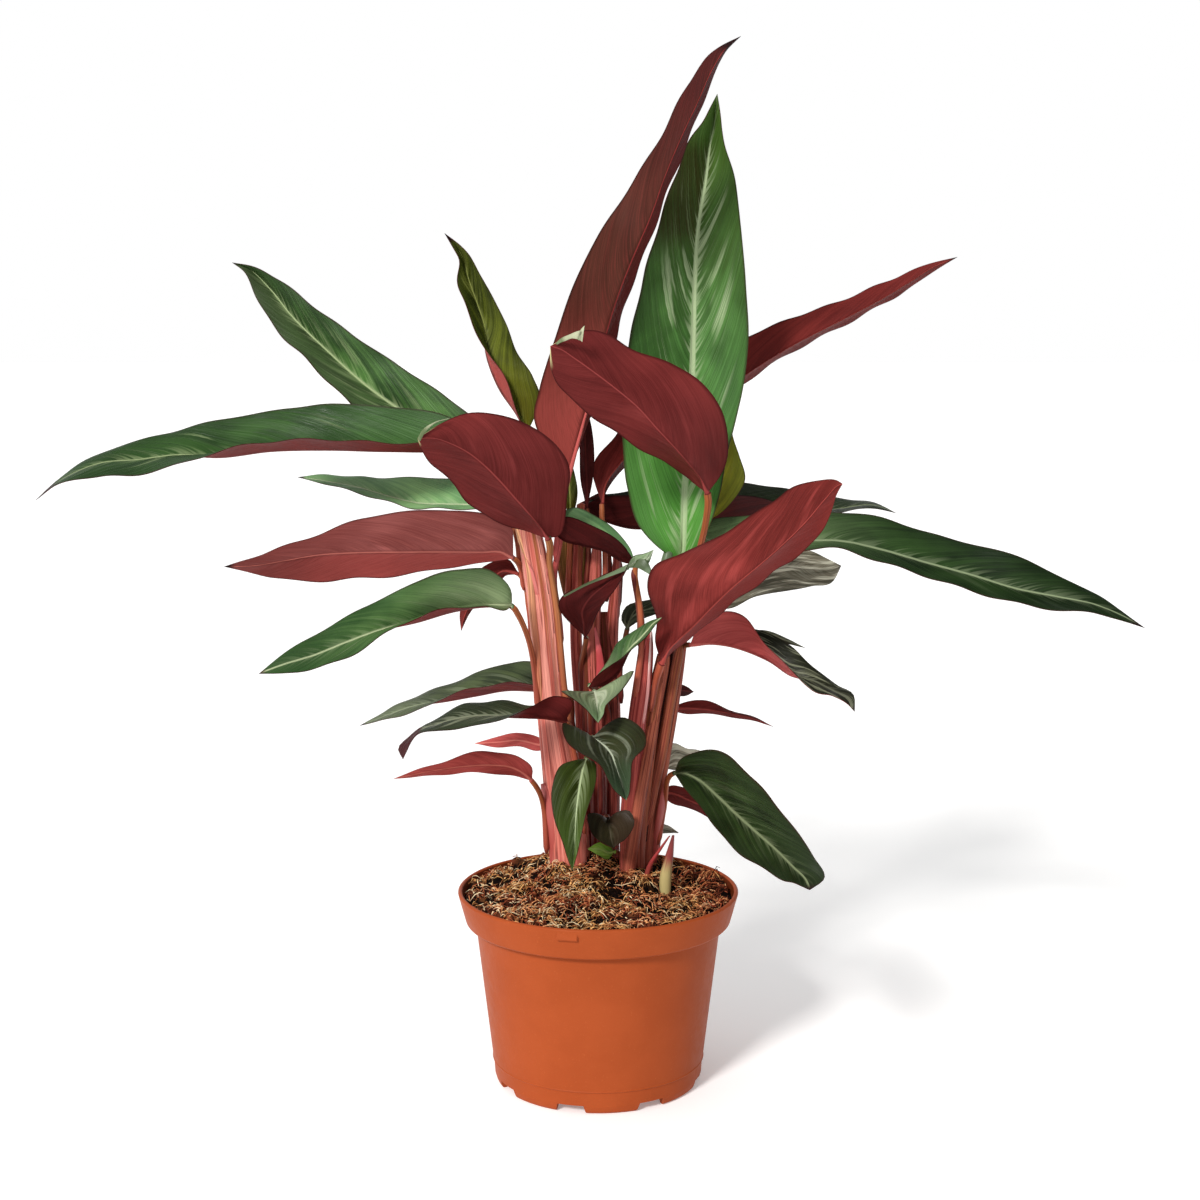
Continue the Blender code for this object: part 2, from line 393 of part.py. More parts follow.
        seen="top", half=(8, 8), fold=(-1, -1), colour=GREY_GREEN,
        foot=("stem_right_back", -165, 150, 161), stalk=(),
        rows=((34.5, 172, 46), (38.5, 184, 40, 177, 50, 39, 171),
              (48, 182.5, 50, 176, 58, 49, 170), (56, 181, 58, 175, 66, 57, 170), (67, 174, 74))),
    "leaf_right_small": dict(
        seen="top", half=(4, 4), fold=(-1, -1), colour=GREY_GREEN,
        foot=("stem_right_back", 165, 117, 123), stalk=((26.2, 129, 43.5),),
        rows=((28, 134.8, 45), (31, 140.2, 32, 137.2, 47, 32, 134.4),
              (37, 139.5, 37, 137.2, 49, 37, 135.2), (42.5, 136.5, 50))),
}


def seen(across, height, depth):
    """A point that looks the same from the eye, moved back along the sight line by its depth."""
    flat = np.array((across, 0.0, height), dtype=float)
    return EYE + (flat - EYE) * (1.0 + depth / 1000.0)


def curve(knots, values, at):
    """A smooth curve through every row, read at any place along the knots."""
    knots = np.asarray(knots, dtype=float)
    values = np.asarray(values, dtype=float)
    step = np.diff(knots)[:, None]
    slope = np.diff(values, axis=0) / step
    tangent = np.empty_like(values)
    tangent[0] = slope[0]
    tangent[-1] = slope[-1]
    tangent[1:-1] = (slope[:-1] * step[1:] + slope[1:] * step[:-1]) / (step[1:] + step[:-1])
    at = np.clip(np.asarray(at, dtype=float), knots[0], knots[-1])
    i = np.clip(np.searchsorted(knots, at, side="right") - 1, 0, len(knots) - 2)
    h = step[i]
    s = ((at - knots[i])[:, None]) / h
    return ((1 + 2 * s) * (1 - s) ** 2 * values[i] + s * (1 - s) ** 2 * h * tangent[i]
            + s ** 2 * (3 - 2 * s) * values[i + 1] + s ** 2 * (s - 1) * h * tangent[i + 1])


def along(points):
    """Distance along a polyline, from 0 to 1."""
    steps = np.linalg.norm(np.diff(points, axis=0), axis=1)
    total = np.concatenate(([0.0], np.cumsum(steps)))
    return total / total[-1]


def unit(v):
    """Each row scaled to length 1."""
    v = np.asarray(v, dtype=float)
    return v / np.maximum(np.linalg.norm(v, axis=-1, keepdims=True), 1e-9)


def core_at(name, height):
    """A shoot's centre and radius at a height given as seen on the middle plane."""
    core = np.array(SHOOTS[name]["core"], dtype=float)
    row = curve(core[:, 1], core, [height])[0]
    return seen(row[0], row[1], row[2]), row[3]


def soil_height(x, y):
    """Height of the soil in mm: a low mound round the shoots, with shallow lumps."""
    r2 = (x - MOUND_CENTRE[0]) ** 2 + (y - MOUND_CENTRE[1]) ** 2
    mound = MOUND_HEIGHT * math.exp(-r2 / (2 * MOUND_SPREAD ** 2))
    lumps = 0.8 * math.sin(0.17 * x + 0.6) * math.sin(0.19 * y + 1.1)
    lumps += 0.5 * math.sin(0.31 * x - 0.23 * y)
    return SOIL_LEVEL + mound + lumps - 0.02 * x


# Leaves

def half_profile(t):
    """Half width along a blade, 0 at both ends and 1 at the widest place."""
    widest = 0.42
    return (t / widest) ** 0.5 * ((1 - t) / (1 - widest)) ** 0.7


def opened(middle, run, first, second, away):
    """Both edges, turned apart about the midrib where the blade would fold nearly shut."""
    va, vb = first - middle, second - middle
    along_a, along_b = run * np.dot(run, va), run * np.dot(run, vb)
    va, vb = va - along_a, vb - along_b
    ua, ub = unit(va), unit(vb)
    between = unit(ua + ub)
    apart = ua - ub
    if np.linalg.norm(apart) < 0.2:
        apart = np.array((0.0, float(away), 0.0))
        apart -= run * np.dot(run, apart)
    apart = unit(apart - between * np.dot(apart, between))
    least = math.radians(LEAST_FOLD / 2)
    if math.acos(min(1.0, float(np.dot(ua, between)))) >= least:
        return first, second
    reach_a, reach_b = np.linalg.norm(va), np.linalg.norm(vb)
    turned_a = math.cos(least) * between + math.sin(least) * apart
    turned_b = math.cos(least) * between - math.sin(least) * apart
    return middle + turned_a * reach_a + along_a, middle + turned_b * reach_b + along_b


def blade_frame(leaf):
    """Midrib and both edges of a blade as 3-D rows, with their places along the midrib."""
    rows = leaf["rows"]
    middle = [rows[0]] + [r[2:5] for r in rows[1:-1]] + [rows[-1]]
    rib = np.array([seen(*p) for p in middle])
    flat = np.array([p[:2] for p in middle], dtype=float)
    run = unit(np.gradient(flat, axis=0))
    place = along(rib)
    sides = []
    for side in (0, 1):
        ends = [p[:2] for p in middle]
        for i, row in enumerate(rows[1:-1], start=1):
            ends[i] = row[:2] if side == 0 else row[5:7]
        ends = np.array(ends, dtype=float)
        off = ends - flat
        shown = np.abs(off[:, 0] * run[:, 1] - off[:, 1] * run[:, 0])
        real = leaf["half"][side] * half_profile(place)
        lean = np.sqrt(np.maximum(real ** 2 - shown ** 2, 0.0))
        lean[1:-1] = 0.25 * lean[:-2] + 0.5 * lean[1:-1] + 0.25 * lean[2:]
        depth = np.array([p[2] for p in middle], dtype=float) + leaf["fold"][side] * lean
        depth[0] = middle[0][2]
        depth[-1] = middle[-1][2]
        sides.append(np.array([seen(e[0], e[1], d) for e, d in zip(ends, depth)]))
    first, second = sides
    ahead = unit(np.gradient(rib, axis=0))
    for i in range(1, len(rib) - 1):
        first[i], second[i] = opened(rib[i], ahead[i], first[i], second[i], leaf["fold"][0])
    return place, rib, first, second


def blade_grid(leaf, at, across):
    """Points of the blade's middle surface and the way its upper side faces, on a grid."""
    place, rib, first, second = blade_frame(leaf)
    m = curve(place, rib, at)
    a = curve(place, first, at)
    b = curve(place, second, at)
    run = unit(np.gradient(m, axis=0))
    up_a = unit(np.cross(a - m, run))
    up_b = unit(np.cross(run, b - m))
    widest = np.argmax(np.linalg.norm((a - m)[:, (0, 2)], axis=1))
    sign = 1.0 if up_a[widest, 1] < 0 else -1.0
    if leaf["seen"] == "under":
        sign = -sign
    grid = np.empty((len(at), len(across), 3))
    face = np.empty_like(grid)
    for j, u in enumerate(across):
        edge, up = (a, up_a) if u < 0 else (b, up_b)
        reach = abs(u)
        width = np.linalg.norm(edge - m, axis=1)[:, None]
        arch = ARCH * width * reach * (1 - reach)
        grid[:, j] = m + (edge - m) * reach + sign * up * arch
        blend = min(1.0, reach * 3)
        face[:, j] = sign * unit(blend * up + (1 - blend) * (up_a + up_b) / 2)
    return grid, face


def stalk_path(leaf):
    """Points up a leaf's stalk: along its shoot, out to the blade, and where the midrib starts."""
    name, angle, low, high = leaf["foot"]
    way = np.array((math.sin(math.radians(angle)), -math.cos(math.radians(angle)), 0.0))
    count = max(2, int((high - low) / 22) + 2)
    points = []
    for height in np.linspace(low, high, count):
        centre, radius = core_at(name, height)
        points.append(centre + way * (radius * 1.03 + STALK_FOOT_RADIUS + GAP))
    points += [seen(*p) for p in leaf["stalk"]]
    return np.array(points)


def ring(centre, side, up, radius, across):
    """A round section with the same points as a blade's section: upper side, then lower side."""
    n = len(across)
    turn = math.pi / (2 * n)
    points = []
    for k in range(2 * n):
        angle = math.pi - turn - k * 2 * turn
        points.append(centre + radius * (math.cos(angle) * side + math.sin(angle) * up))
    return points


def leaf_sections(leaf, stations, across, blade=BLADE):
    """All rings of a leaf from the stalk's foot to just short of the tip, and the tip itself."""
    grid, face = blade_grid(leaf, stations, across)
    place, rib, first, second = blade_frame(leaf)
    path = np.vstack((stalk_path(leaf), rib[:2]))
    steps = along(path)
    end = steps[-2]
    count = max(4, int(np.linalg.norm(np.diff(path[:-1], axis=0), axis=1).sum() / 13) + 2)
    places = np.linspace(0.0, end, count + 1)
    spine = curve(steps, path, places)
    run = unit(np.gradient(spine, axis=0))
    run[-1] = unit(run[-1] + unit(rib[1] - rib[0]))
    side = unit(grid[0, -1] - grid[0, 0])
    rings = []
    for i in range(count, -1, -1):
        side = unit(side - run[i] * np.dot(side, run[i]))
        up = np.cross(run[i], side)
        if i == count and np.dot(up, face[0, len(across) // 2]) < 0:
            flip = -1.0
        elif i == count:
            flip = 1.0
        share = i / count
        radius = STALK_FOOT_RADIUS * (1 - share) + STALK_TOP_RADIUS * share
        if i == 0:
            radius = 0.8
        rings.append(ring(spine[i], side, flip * up, radius, across))
    rings.reverse()
    width = len(across)
    for i, t in enumerate(stations):
        reach = np.linalg.norm(grid[i, (0, -1)] - grid[i, width // 2], axis=-1).min()
        thick = blade * min(1.0, 0.3 + reach / 5)
        upper = grid[i] + face[i] * thick / 2
        lower = grid[i] - face[i] * thick / 2
        bulge = RIB_BULGE * (1 - t) * min(1.0, reach / 6)
        lower[width // 2] -= face[i, width // 2] * bulge
        rings.append([*upper, *lower[::-1]])
    return rings, rib[-1], spine[0]


def solid_from_rings(name, rings, tip, foot, width):
    """One closed solid through the rings, with matching triangles on the two faces of the blade."""
    mesh = bpy.data.meshes.new(name)
    bm = bmesh.new()
    loops = [[bm.verts.new(p * MM) for p in points] for points in rings]
    n = len(loops[0])
    for low, high in zip(loops, loops[1:]):
        for k in range(n):
            j = (k + 1) % n
            if k < width:
                bm.faces.new((low[k], low[j], high[j]))
                bm.faces.new((low[k], high[j], high[k]))
            else:
                bm.faces.new((low[k], low[j], high[k]))
                bm.faces.new((low[j], high[j], high[k]))
    start = bm.verts.new(foot * MM)
    end = bm.verts.new(tip * MM)
    for k in range(n):
        j = (k + 1) % n
        bm.faces.new((start, loops[0][j], loops[0][k]))
        bm.faces.new((end, loops[-1][k], loops[-1][j]))
    if bm.calc_volume(signed=True) < 0:
        bmesh.ops.reverse_faces(bm, faces=bm.faces[:])
    bm.to_mesh(mesh)
    bm.free()
    mesh.shade_smooth()
    return bpy.data.objects.new(name, mesh)


def blade_stations(count):
    """Places along a blade, closer together at both ends."""
    even = np.linspace(0.0, 1.0, count + 1)[1:-1]
    return np.concatenate(([0.45 / count], even, [1 - 0.35 / count]))


def make_leaf(name, leaf):
    """A leaf with its stalk, as one solid."""
    rows = len(leaf["rows"])
    size = max(leaf["half"])
    across = np.linspace(-1, 1, 5 if size > 9 else 3)
    stations = blade_stations(max(4, min(10, rows + 1)))
    rings, tip, foot = leaf_sections(leaf, stations, across)
    return solid_from_rings(name, rings, tip, foot, len(across))


# Shoots

def make_shoot(name, shoot):
    """A ridged, leaning shoot with an upright round foot that stands in the soil."""
    core = np.array(shoot["core"], dtype=float)
    heights = np.linspace(core[0, 1], core[-1, 1], max(5, int((core[-1, 1] - core[0, 1]) / 20) + 1))
    rows = curve(core[:, 1], core, heights)
    centres = [seen(r[0], r[1], r[2]) for r in rows]
    base = centres[0]
    radius = core[0, 3]
    depth = min(STUMP_DEPTH, radius * 3 + 12)
    sides = 16 if radius > 8 else 10
    sections = [(np.array((base[0], base[1], base[2] - depth)), radius, 0.0),
                (np.array((base[0], base[1], STRAIGHT_TO - 3)), radius, 0.0)]
    for centre, row in zip(centres, rows):
        if centre[2] > STRAIGHT_TO + 4:
            sections.append((centre, row[3], 0.04))
    mesh = bpy.data.meshes.new(name)
    bm = bmesh.new()
    loops = []
    for centre, size, ridge in sections:
        loop = []
        for k in range(sides):
            angle = 2 * math.pi * k / sides
            r = size * (1 + ridge * math.cos(shoot["ridges"] * angle))
            point = centre + np.array((math.cos(angle), math.sin(angle), 0)) * r
            loop.append(bm.verts.new(point * MM))
        loops.append(loop)
    for low, high in zip(loops, loops[1:]):
        for k in range(sides):
            j = (k + 1) % sides
            bm.faces.new((low[k], low[j], high[j], high[k]))
    bm.faces.new(loops[0][::-1])
    bm.faces.new(loops[-1])
    bm.to_mesh(mesh)
    bm.free()
    mesh.shade_smooth()
    return bpy.data.objects.new(name, mesh)


# Pot and soil

def turned(name, outline, sides):
    """A closed profile, given as (radius, height) from the axis down its outer side, turned round."""
    mesh = bpy.data.meshes.new(name)
    points = [(r * MM, 0.0, z * MM) for r, z in outline]
    mesh.from_pydata(points, [(i, i + 1) for i in range(len(points) - 1)], [])
    thing = bpy.data.objects.new(name, mesh)
    screw = thing.modifiers.new("turn", "SCREW")
    screw.steps = sides
    screw.render_steps = sides
    screw.use_merge_vertices = True
    screw.merge_threshold = 0.00005
    screw.use_smooth_shade = True
    return thing


def pot_outline():
    """The pot's wall: inside from the floor up to the lip, then down its outer side to the foot."""
    neck = POT_HEIGHT - BAND_HEIGHT
    inside = [(0, FLOOR_UNDERSIDE + 2.5), (51.0, FLOOR_UNDERSIDE + 2.5), (54.6, 12.0),
              (NECK_RADIUS - WALL, neck - 0.7), (69.0, neck + 1.3),
              (RIM_RADIUS - WALL - 0.1, POT_HEIGHT - 0.5)]
    outside = [(RIM_RADIUS - 1.2, POT_HEIGHT), (RIM_RADIUS, POT_HEIGHT - 0.9),
               (BAND_FOOT_RADIUS, neck + 0.6), (BAND_FOOT_RADIUS - 0.8, neck - 0.2),
               (NECK_RADIUS, neck - 1.4), (57.5, 12.6), (57.1, 11.8), (56.6, 4.0),
               (BASE_RADIUS - 0.3, 1.0), (BASE_RADIUS - 1.2, 0.0)]
    foot = BASE_RADIUS - FOOT_WIDTH
    underside = [(foot, 0.0), (foot - 0.4, FLOOR_UNDERSIDE), (0, FLOOR_UNDERSIDE)]
    return inside + outside + underside


def box(name, size, centre, turn=0.0):
    """A block in mm, turned about the pot's axis direction."""
    mesh = bpy.data.meshes.new(name)
    bm = bmesh.new()
    bmesh.ops.create_cube(bm, size=1.0)
    bmesh.ops.scale(bm, vec=[s * MM for s in size], verts=bm.verts[:])
    bm.to_mesh(mesh)
    bm.free()
    thing = bpy.data.objects.new(name, mesh)
    thing.location = [c * MM for c in centre]
    thing.rotation_euler = (0, 0, math.radians(turn))
    return thing


def make_pot(cutters):
    """The pot with eight notches through its foot and a small tab under the lip."""
    outline = pot_outline()
    pot = turned("pot", outline[::-1][::-1], POT_SIDES)
    notches = []
    for k in range(NOTCH_COUNT):
        angle = math.radians(FIRST_NOTCH + k * 360.0 / NOTCH_COUNT)
        reach = BASE_RADIUS - FOOT_WIDTH / 2
        centre = (reach * math.sin(angle), -reach * math.cos(angle), NOTCH_HEIGHT / 2 - 1)
        size = (NOTCH_WIDTH, FOOT_WIDTH * 3.2, NOTCH_HEIGHT + 2)
        notches.append(box(f"notch_{k}", size, centre, math.degrees(angle)))
    for notch in notches:
        cutters.objects.link(notch)
        notch.hide_render = True
        notch.display_type = "WIRE"
        cut = pot.modifiers.new(notch.name, "BOOLEAN")
        cut.operation = "DIFFERENCE"
        cut.object = notch
    angle = math.radians(TAB_ANGLE)
    reach = RIM_RADIUS - 1.3
    tab = box("tab", TAB_SIZE, (reach * math.sin(angle), -reach * math.cos(angle),
                                POT_HEIGHT - 4.3), TAB_ANGLE)
    cutters.objects.link(tab)
    tab.hide_render = True
    tab.display_type = "WIRE"
    join = pot.modifiers.new("tab", "BOOLEAN")
    join.operation = "UNION"
    join.object = tab
    return pot


def soil_outline():
    """The soil's turned outline, a small gap inside the pot's inner wall."""
    neck = POT_HEIGHT - BAND_HEIGHT
    top = [(r, SOIL_LEVEL) for r in (0, 9, 18, 27, 36, 45, 54, 63)]
    wall = [(72.1, SOIL_LEVEL), (68.6, neck + 1.7), (NECK_RADIUS - WALL - 0.4, neck - 0.35),
            (54.2, 12.3), (50.7, FLOOR_UNDERSIDE + 2.9), (0, FLOOR_UNDERSIDE + 2.9)]
    return top + wall


def real_mesh(thing):
    """The object's mesh with its modifiers applied."""
    bpy.context.view_layer.update()
    graph = bpy.context.evaluated_depsgraph_get()
    return bpy.data.meshes.new_from_object(thing.evaluated_get(graph))


def make_soil(parts, cutters):
    """Coir soil with a mounded top and a plain hole for each shoot."""
    turned_soil = turned("soil_turned", soil_outline(), POT_SIDES)
    parts.objects.link(turned_soil)
    mesh = real_mesh(turned_soil)
    bpy.data.objects.remove(turned_soil)
    mesh.name = "soil"
    for vert in mesh.vertices:
        if vert.co.z > (SOIL_LEVEL - 0.1) * MM:
            x, y = vert.co.x / MM, vert.co.y / MM
            edge = min(1.0, (72.2 - math.hypot(x, y)) / 12.0)
            height = soil_height(x, y)
            vert.co.z = MM * (SOIL_LEVEL + (height - SOIL_LEVEL) * edge)
    soil = bpy.data.objects.new("soil", mesh)
    for name, shoot in {**SHOOTS, **BUDS}.items():
        first = shoot["core"][0]
        base = seen(*first[:3])
        radius = first[3]
        depth = min(STUMP_DEPTH, radius * 3 + 12)
        low = base[2] - depth - GAP
        high = STRAIGHT_TO + 12
        hole_mesh = bpy.data.meshes.new("hole_" + name)
        bm = bmesh.new()
        bmesh.ops.create_cone(bm, cap_ends=True, segments=16, radius1=(radius + GAP) / 0.98 * MM,
                              radius2=(radius + GAP) / 0.98 * MM, depth=(high - low) * MM)
        bm.to_mesh(hole_mesh)
        bm.free()
        hole = bpy.data.objects.new("hole_" + name, hole_mesh)
        hole.location = (base[0] * MM, base[1] * MM, (low + high) / 2 * MM)
        hole.hide_render = True
        hole.display_type = "WIRE"
        cutters.objects.link(hole)
        cut = soil.modifiers.new(hole.name, "BOOLEAN")
        cut.operation = "DIFFERENCE"
        cut.solver = "MANIFOLD"
        cut.object = hole
    return soil


def painted(thing, colour, roughness):
    """Give an object its own plain material."""
    material = bpy.data.materials.new(thing.name)
    material.use_nodes = True
    shader = material.node_tree.nodes["Principled BSDF"]
    shader.inputs["Base Color"].default_value = (*colour, 1.0)
    shader.inputs["Roughness"].default_value = roughness
    shader.inputs["Metallic"].default_value = 0.0
    thing.data.materials.clear()
    thing.data.materials.append(material)


def main():
    for thing in list(bpy.data.objects):
        bpy.data.objects.remove(thing)
    parts = bpy.data.collections.new("potted_stromanthe")
    cutters = bpy.data.collections.new("cutters")
    bpy.context.scene.collection.children.link(parts)
    bpy.context.scene.collection.children.link(cutters)

    pot = make_pot(cutters)
    soil = make_soil(parts, cutters)
    for thing, colour, roughness in ((pot, TERRACOTTA, 0.45), (soil, COIR, 0.95)):
        parts.objects.link(thing)
        painted(thing, colour, roughness)
    for name, shoot in {**SHOOTS, **BUDS}.items():
        stem = make_shoot(name, shoot)
        parts.objects.link(stem)
        painted(stem, shoot["colour"], 0.45)
    for name, leaf in LEAVES.items():
        blade = make_leaf(name, leaf)
        parts.objects.link(blade)
        painted(blade, leaf["colour"], 0.4)


main()
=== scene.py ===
"""A potted stromanthe: long pointed leaves, green above and maroon beneath, on reddish shoots
that stand in coir soil in a terracotta-coloured nursery pot.

Units are metres, +Z is up, the viewer looks along +Y, and the origin is on the pot's axis where
it stands on the table. Plant points are in millimetres, as (across, height) seen on the upright
plane through the pot's axis from the eye at EYE, and each has its own depth behind that plane.
"""
import math
from functools import reduce

import bmesh
import bpy
import numpy as np
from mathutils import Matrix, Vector


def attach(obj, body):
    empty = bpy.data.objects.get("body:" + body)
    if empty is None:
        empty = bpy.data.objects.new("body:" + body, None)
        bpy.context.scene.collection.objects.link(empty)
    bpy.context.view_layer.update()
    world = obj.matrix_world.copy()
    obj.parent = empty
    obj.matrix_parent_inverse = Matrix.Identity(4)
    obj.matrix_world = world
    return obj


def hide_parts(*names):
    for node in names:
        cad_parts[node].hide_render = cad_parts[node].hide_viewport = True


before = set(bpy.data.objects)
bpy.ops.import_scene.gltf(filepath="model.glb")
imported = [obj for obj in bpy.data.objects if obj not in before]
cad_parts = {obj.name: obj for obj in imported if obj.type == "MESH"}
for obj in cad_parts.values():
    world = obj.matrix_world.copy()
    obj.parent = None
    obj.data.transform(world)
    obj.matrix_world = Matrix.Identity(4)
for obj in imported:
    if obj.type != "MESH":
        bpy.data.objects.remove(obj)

MM = 0.001
FULL_TURN = 2 * math.pi
GAP = 0.35                  # clearance between touching pieces, mm

# Camera
EYE = np.array((1.0, -1000.0, 401.0))
LENS = 56.94
SENSOR = 36.0
TILT_DOWN = 7.85            # degrees

# Light
FLOOR_GLOW = 0.22           # the floor is lit a little from beneath, as a light table is
FLOOR_HALF = 30000.0        # mm
FLOOR_DROP = 0.2            # how far the floor lies under the pot, mm
LEFT_LIGHT = 0.82           # strength of the light all round, at the left
RIGHT_LIGHT = 0.27
KEY_LIGHT = 3.0
KEY_SOFTNESS = 11.0         # degrees
KEY_WAY = (0.41, 0.76, -0.56)

# Pot, mm
POT_HEIGHT = 105.7
RIM_RADIUS = 76.0
BAND_HEIGHT = 17.0
BAND_FOOT_RADIUS = 71.8
NECK = POT_HEIGHT - BAND_HEIGHT
NECK_RADIUS = 66.4
BASE_RADIUS = 56.0
FOOT_WIDTH = 3.8
FLOOR_UNDERSIDE = 5.0
FLOOR_THICKNESS = 2.5
FLOOR_RADIUS = 51.0
FLOOR_CORNER = (54.6, 12.0)  # where the floor's slope meets the wall: radius and height
WALL = 2.2
MOULDING = ((57.55, 12.9), (57.85, 12.5), (57.75, 12.2), (57.1, 11.8))   # the fine line low on the body
CORNER_RADIUS = 0.55
CORNER_STEPS = 4
SHARP_FROM = 40.0           # degrees
POT_SIDES = 192
NOTCH_COUNT = 8
FIRST_NOTCH = -60.0         # degrees round from the front, plus to the right
NOTCH_WIDTH = 15.0
NOTCH_HEIGHT = 4.5
NOTCH_DEPTH = FOOT_WIDTH * 3.2
NOTCH_BELOW = 2.0           # how far a notch's block reaches below the foot
NOTCH_FLARE = 2.2           # how much wider a notch is at the bottom
NOTCH_TAPER = 0.8           # and how much narrower at the top
TAB_ANGLE = -12.0
TAB_SIZE = (11.0, 2.4, 4.2)
TAB_DROP = 4.3              # from the rim down to the tab's middle
TAB_INSET = 1.3
TAB_LEAN = -13.0            # degrees
TAB_EDGE = 0.35

# Soil, mm
SOIL_LEVEL = 101.5
SOIL_RADIUS = 73.0
SOIL_RINGS = 56
SOIL_SIDES = 170
MOUND_HEIGHT = 14.0
MOUND_CENTRE = (-2.0, 24.0)
MOUND_SPREAD = 26.0
MOUND_EDGE = 72.2           # the mound has come down to the wall here
MOUND_EASE = 12.0
SOIL_SEED = 7
WALL_TONE = 0.12            # tone of the soil's sides and underside
CLODS = 230
CLOD_RADII = (2.8, 8.5)
CLOD_RISE = (0.4, 0.85)     # height over radius
TUFTS = 170
STRANDS = 9000
TUFTED = 0.7                # share of the strands that lie in tufts
TUFT_SPREAD = 4.5
TUFT_TURN = 0.7             # radians
CHIPS = 0.25                # share of the strands that are short and thick
CHIP_LENGTHS = (1.0, 2.6)
CHIP_RADII = (0.3, 0.6)
STRAND_RADII = (0.14, 0.32)
BARE_BEHIND = 0.35          # share of the strands left out behind the shoots
STRAND_START_EDGE = 72.5
STRAND_EDGE = 73.2
STRAND_SIDES = 3
DARK = (0.02, 0.24)         # tones of strands
BROWN = (0.30, 0.48)
GOLD = (0.55, 0.76)
STRAW = (0.78, 1.0)
DARK_BELOW = 0.38           # where a strand's random pick turns from dark to brown
GOLD_ABOVE = 0.64           # from brown to gold
STRAW_ABOVE = 0.90          # and from gold to straw
HIGH_CLODS = (              # the large clods: across, back, radius and height
    (61.0, 16.0, 8.0, 7.5), (66.0, 4.0, 6.0, 5.0), (54.0, 30.0, 8.0, 6.0), (-60.0, -8.0, 8.0, 4.5),
    (20.0, -44.0, 11.0, 6.5), (-22.0, -30.0, 12.0, 7.0), (-2.0, -4.0, 13.0, 5.0), (-24.0, 12.0, 9.0, 5.5),
    (16.0, 2.0, 8.0, 5.0), (-44.0, -22.0, 9.0, 6.0), (42.0, -24.0, 9.0, 5.0))

# Blades, mm
BLADE = 0.7                 # thickness
RIB_BULGE = 0.7             # extra depth of the midrib under the blade
RIB_GROOVE = 0.35           # depth of the groove over it
LEAST_FOLD = 58.0           # smallest angle between a blade's two halves, degrees
ARCH = 0.15                 # how far each half arches over, as a share of its width
WIDEST_AT = 0.42            # where a blade is widest, as a share of its length
BASE_CURVE = 0.5            # how it widens from its base: 1 is straight, less is rounder
TIP_CURVE = 0.7             # how it narrows to its tip
RIM_ROUNDING = 0.55         # how much thinner a blade is at its margin, as a share
STEM_RUN = 14.0             # how far the stalk's thickness runs on under the blade
MESH_STEP = 2.2             # distance between the rows and columns of a blade's mesh
VEIN_SLANT = 1.3            # how far a side vein runs along the blade for each mm across it
VEIN_CURVE = 1.6            # how much more it does so at the margin
VEIN_STEP = 11.0            # distance between the soft swells along the veins
VEIN_SWELL = 0.22
EDGE_WAVE_STEP = 34.0       # distance between waves of a blade's edge
EDGE_WAVE = 0.7
SIZE_UNIT = 100.0           # what the points carry as sizes is in these

# Stalks and shoots, mm
STALK_FOOT_RADIUS = 1.7
STALK_TOP_RADIUS = 1.25
STALK_END_RADIUS = 0.8      # of the last ring at a stalk's foot
STALK_STEP = 4.0            # distance between the rows of a stalk's mesh
STALK_KNOT_STEP = 22.0      # distance between its points along a shoot
KNUCKLE = 0.14              # how much a stalk swells just under its blade
KNUCKLE_LENGTH = 9.0
STUMP_DEPTH = 26.0          # how deep a shoot stands in the soil
STRAIGHT_TO = 118.0         # a shoot is upright and round below this height
SHOOT_STEP = 3.0            # distance between the rows of a shoot's mesh
WIDE_SHOOT = 8.0            # a shoot with a larger radius than this has more sides
WIDE_SIDES = 72
SHOOT_SIDES = 40
STALK_SIDES = 14            # of a stalk that lies along a shoot
SHARD_ROWS = 14
SHARD_COLUMNS = 9
SHARD_EDGE = 0.15           # thickness at a torn piece's edges
SHARD_BODY = 0.35           # and how much more in its middle
CORE_SHARE = 0.975          # a shoot's radius under its ridges, as a share
RIDGE_EASE = 15.0           # height over which the ridges grow in
RIDGE = 0.03                # how far a shoot's ridges stand out, as a share of its radius
FINE_RIDGE = 0.012
SHEATH_STEP = 0.8           # how far a sheath's edge stands out
SEAM_START = 0.5            # where round the shoot a seam starts, radians
SEAM_TWIST = 1.1            # how far a seam turns round the shoot on its way up

# Colours
DRY_TIP = (0.016, 0.005, 0.005)
WINE_TIP = (0.045, 0.008, 0.009)
PALE_GREEN = (0.34, 0.42, 0.21)
BROWN_MARGIN = (0.024, 0.014, 0.006)
TORN_EDGE = (0.62, 0.55, 0.28)
WHITE = (1.0, 1.0, 1.0)
IOR = 1.45                  # of leaves and shoots

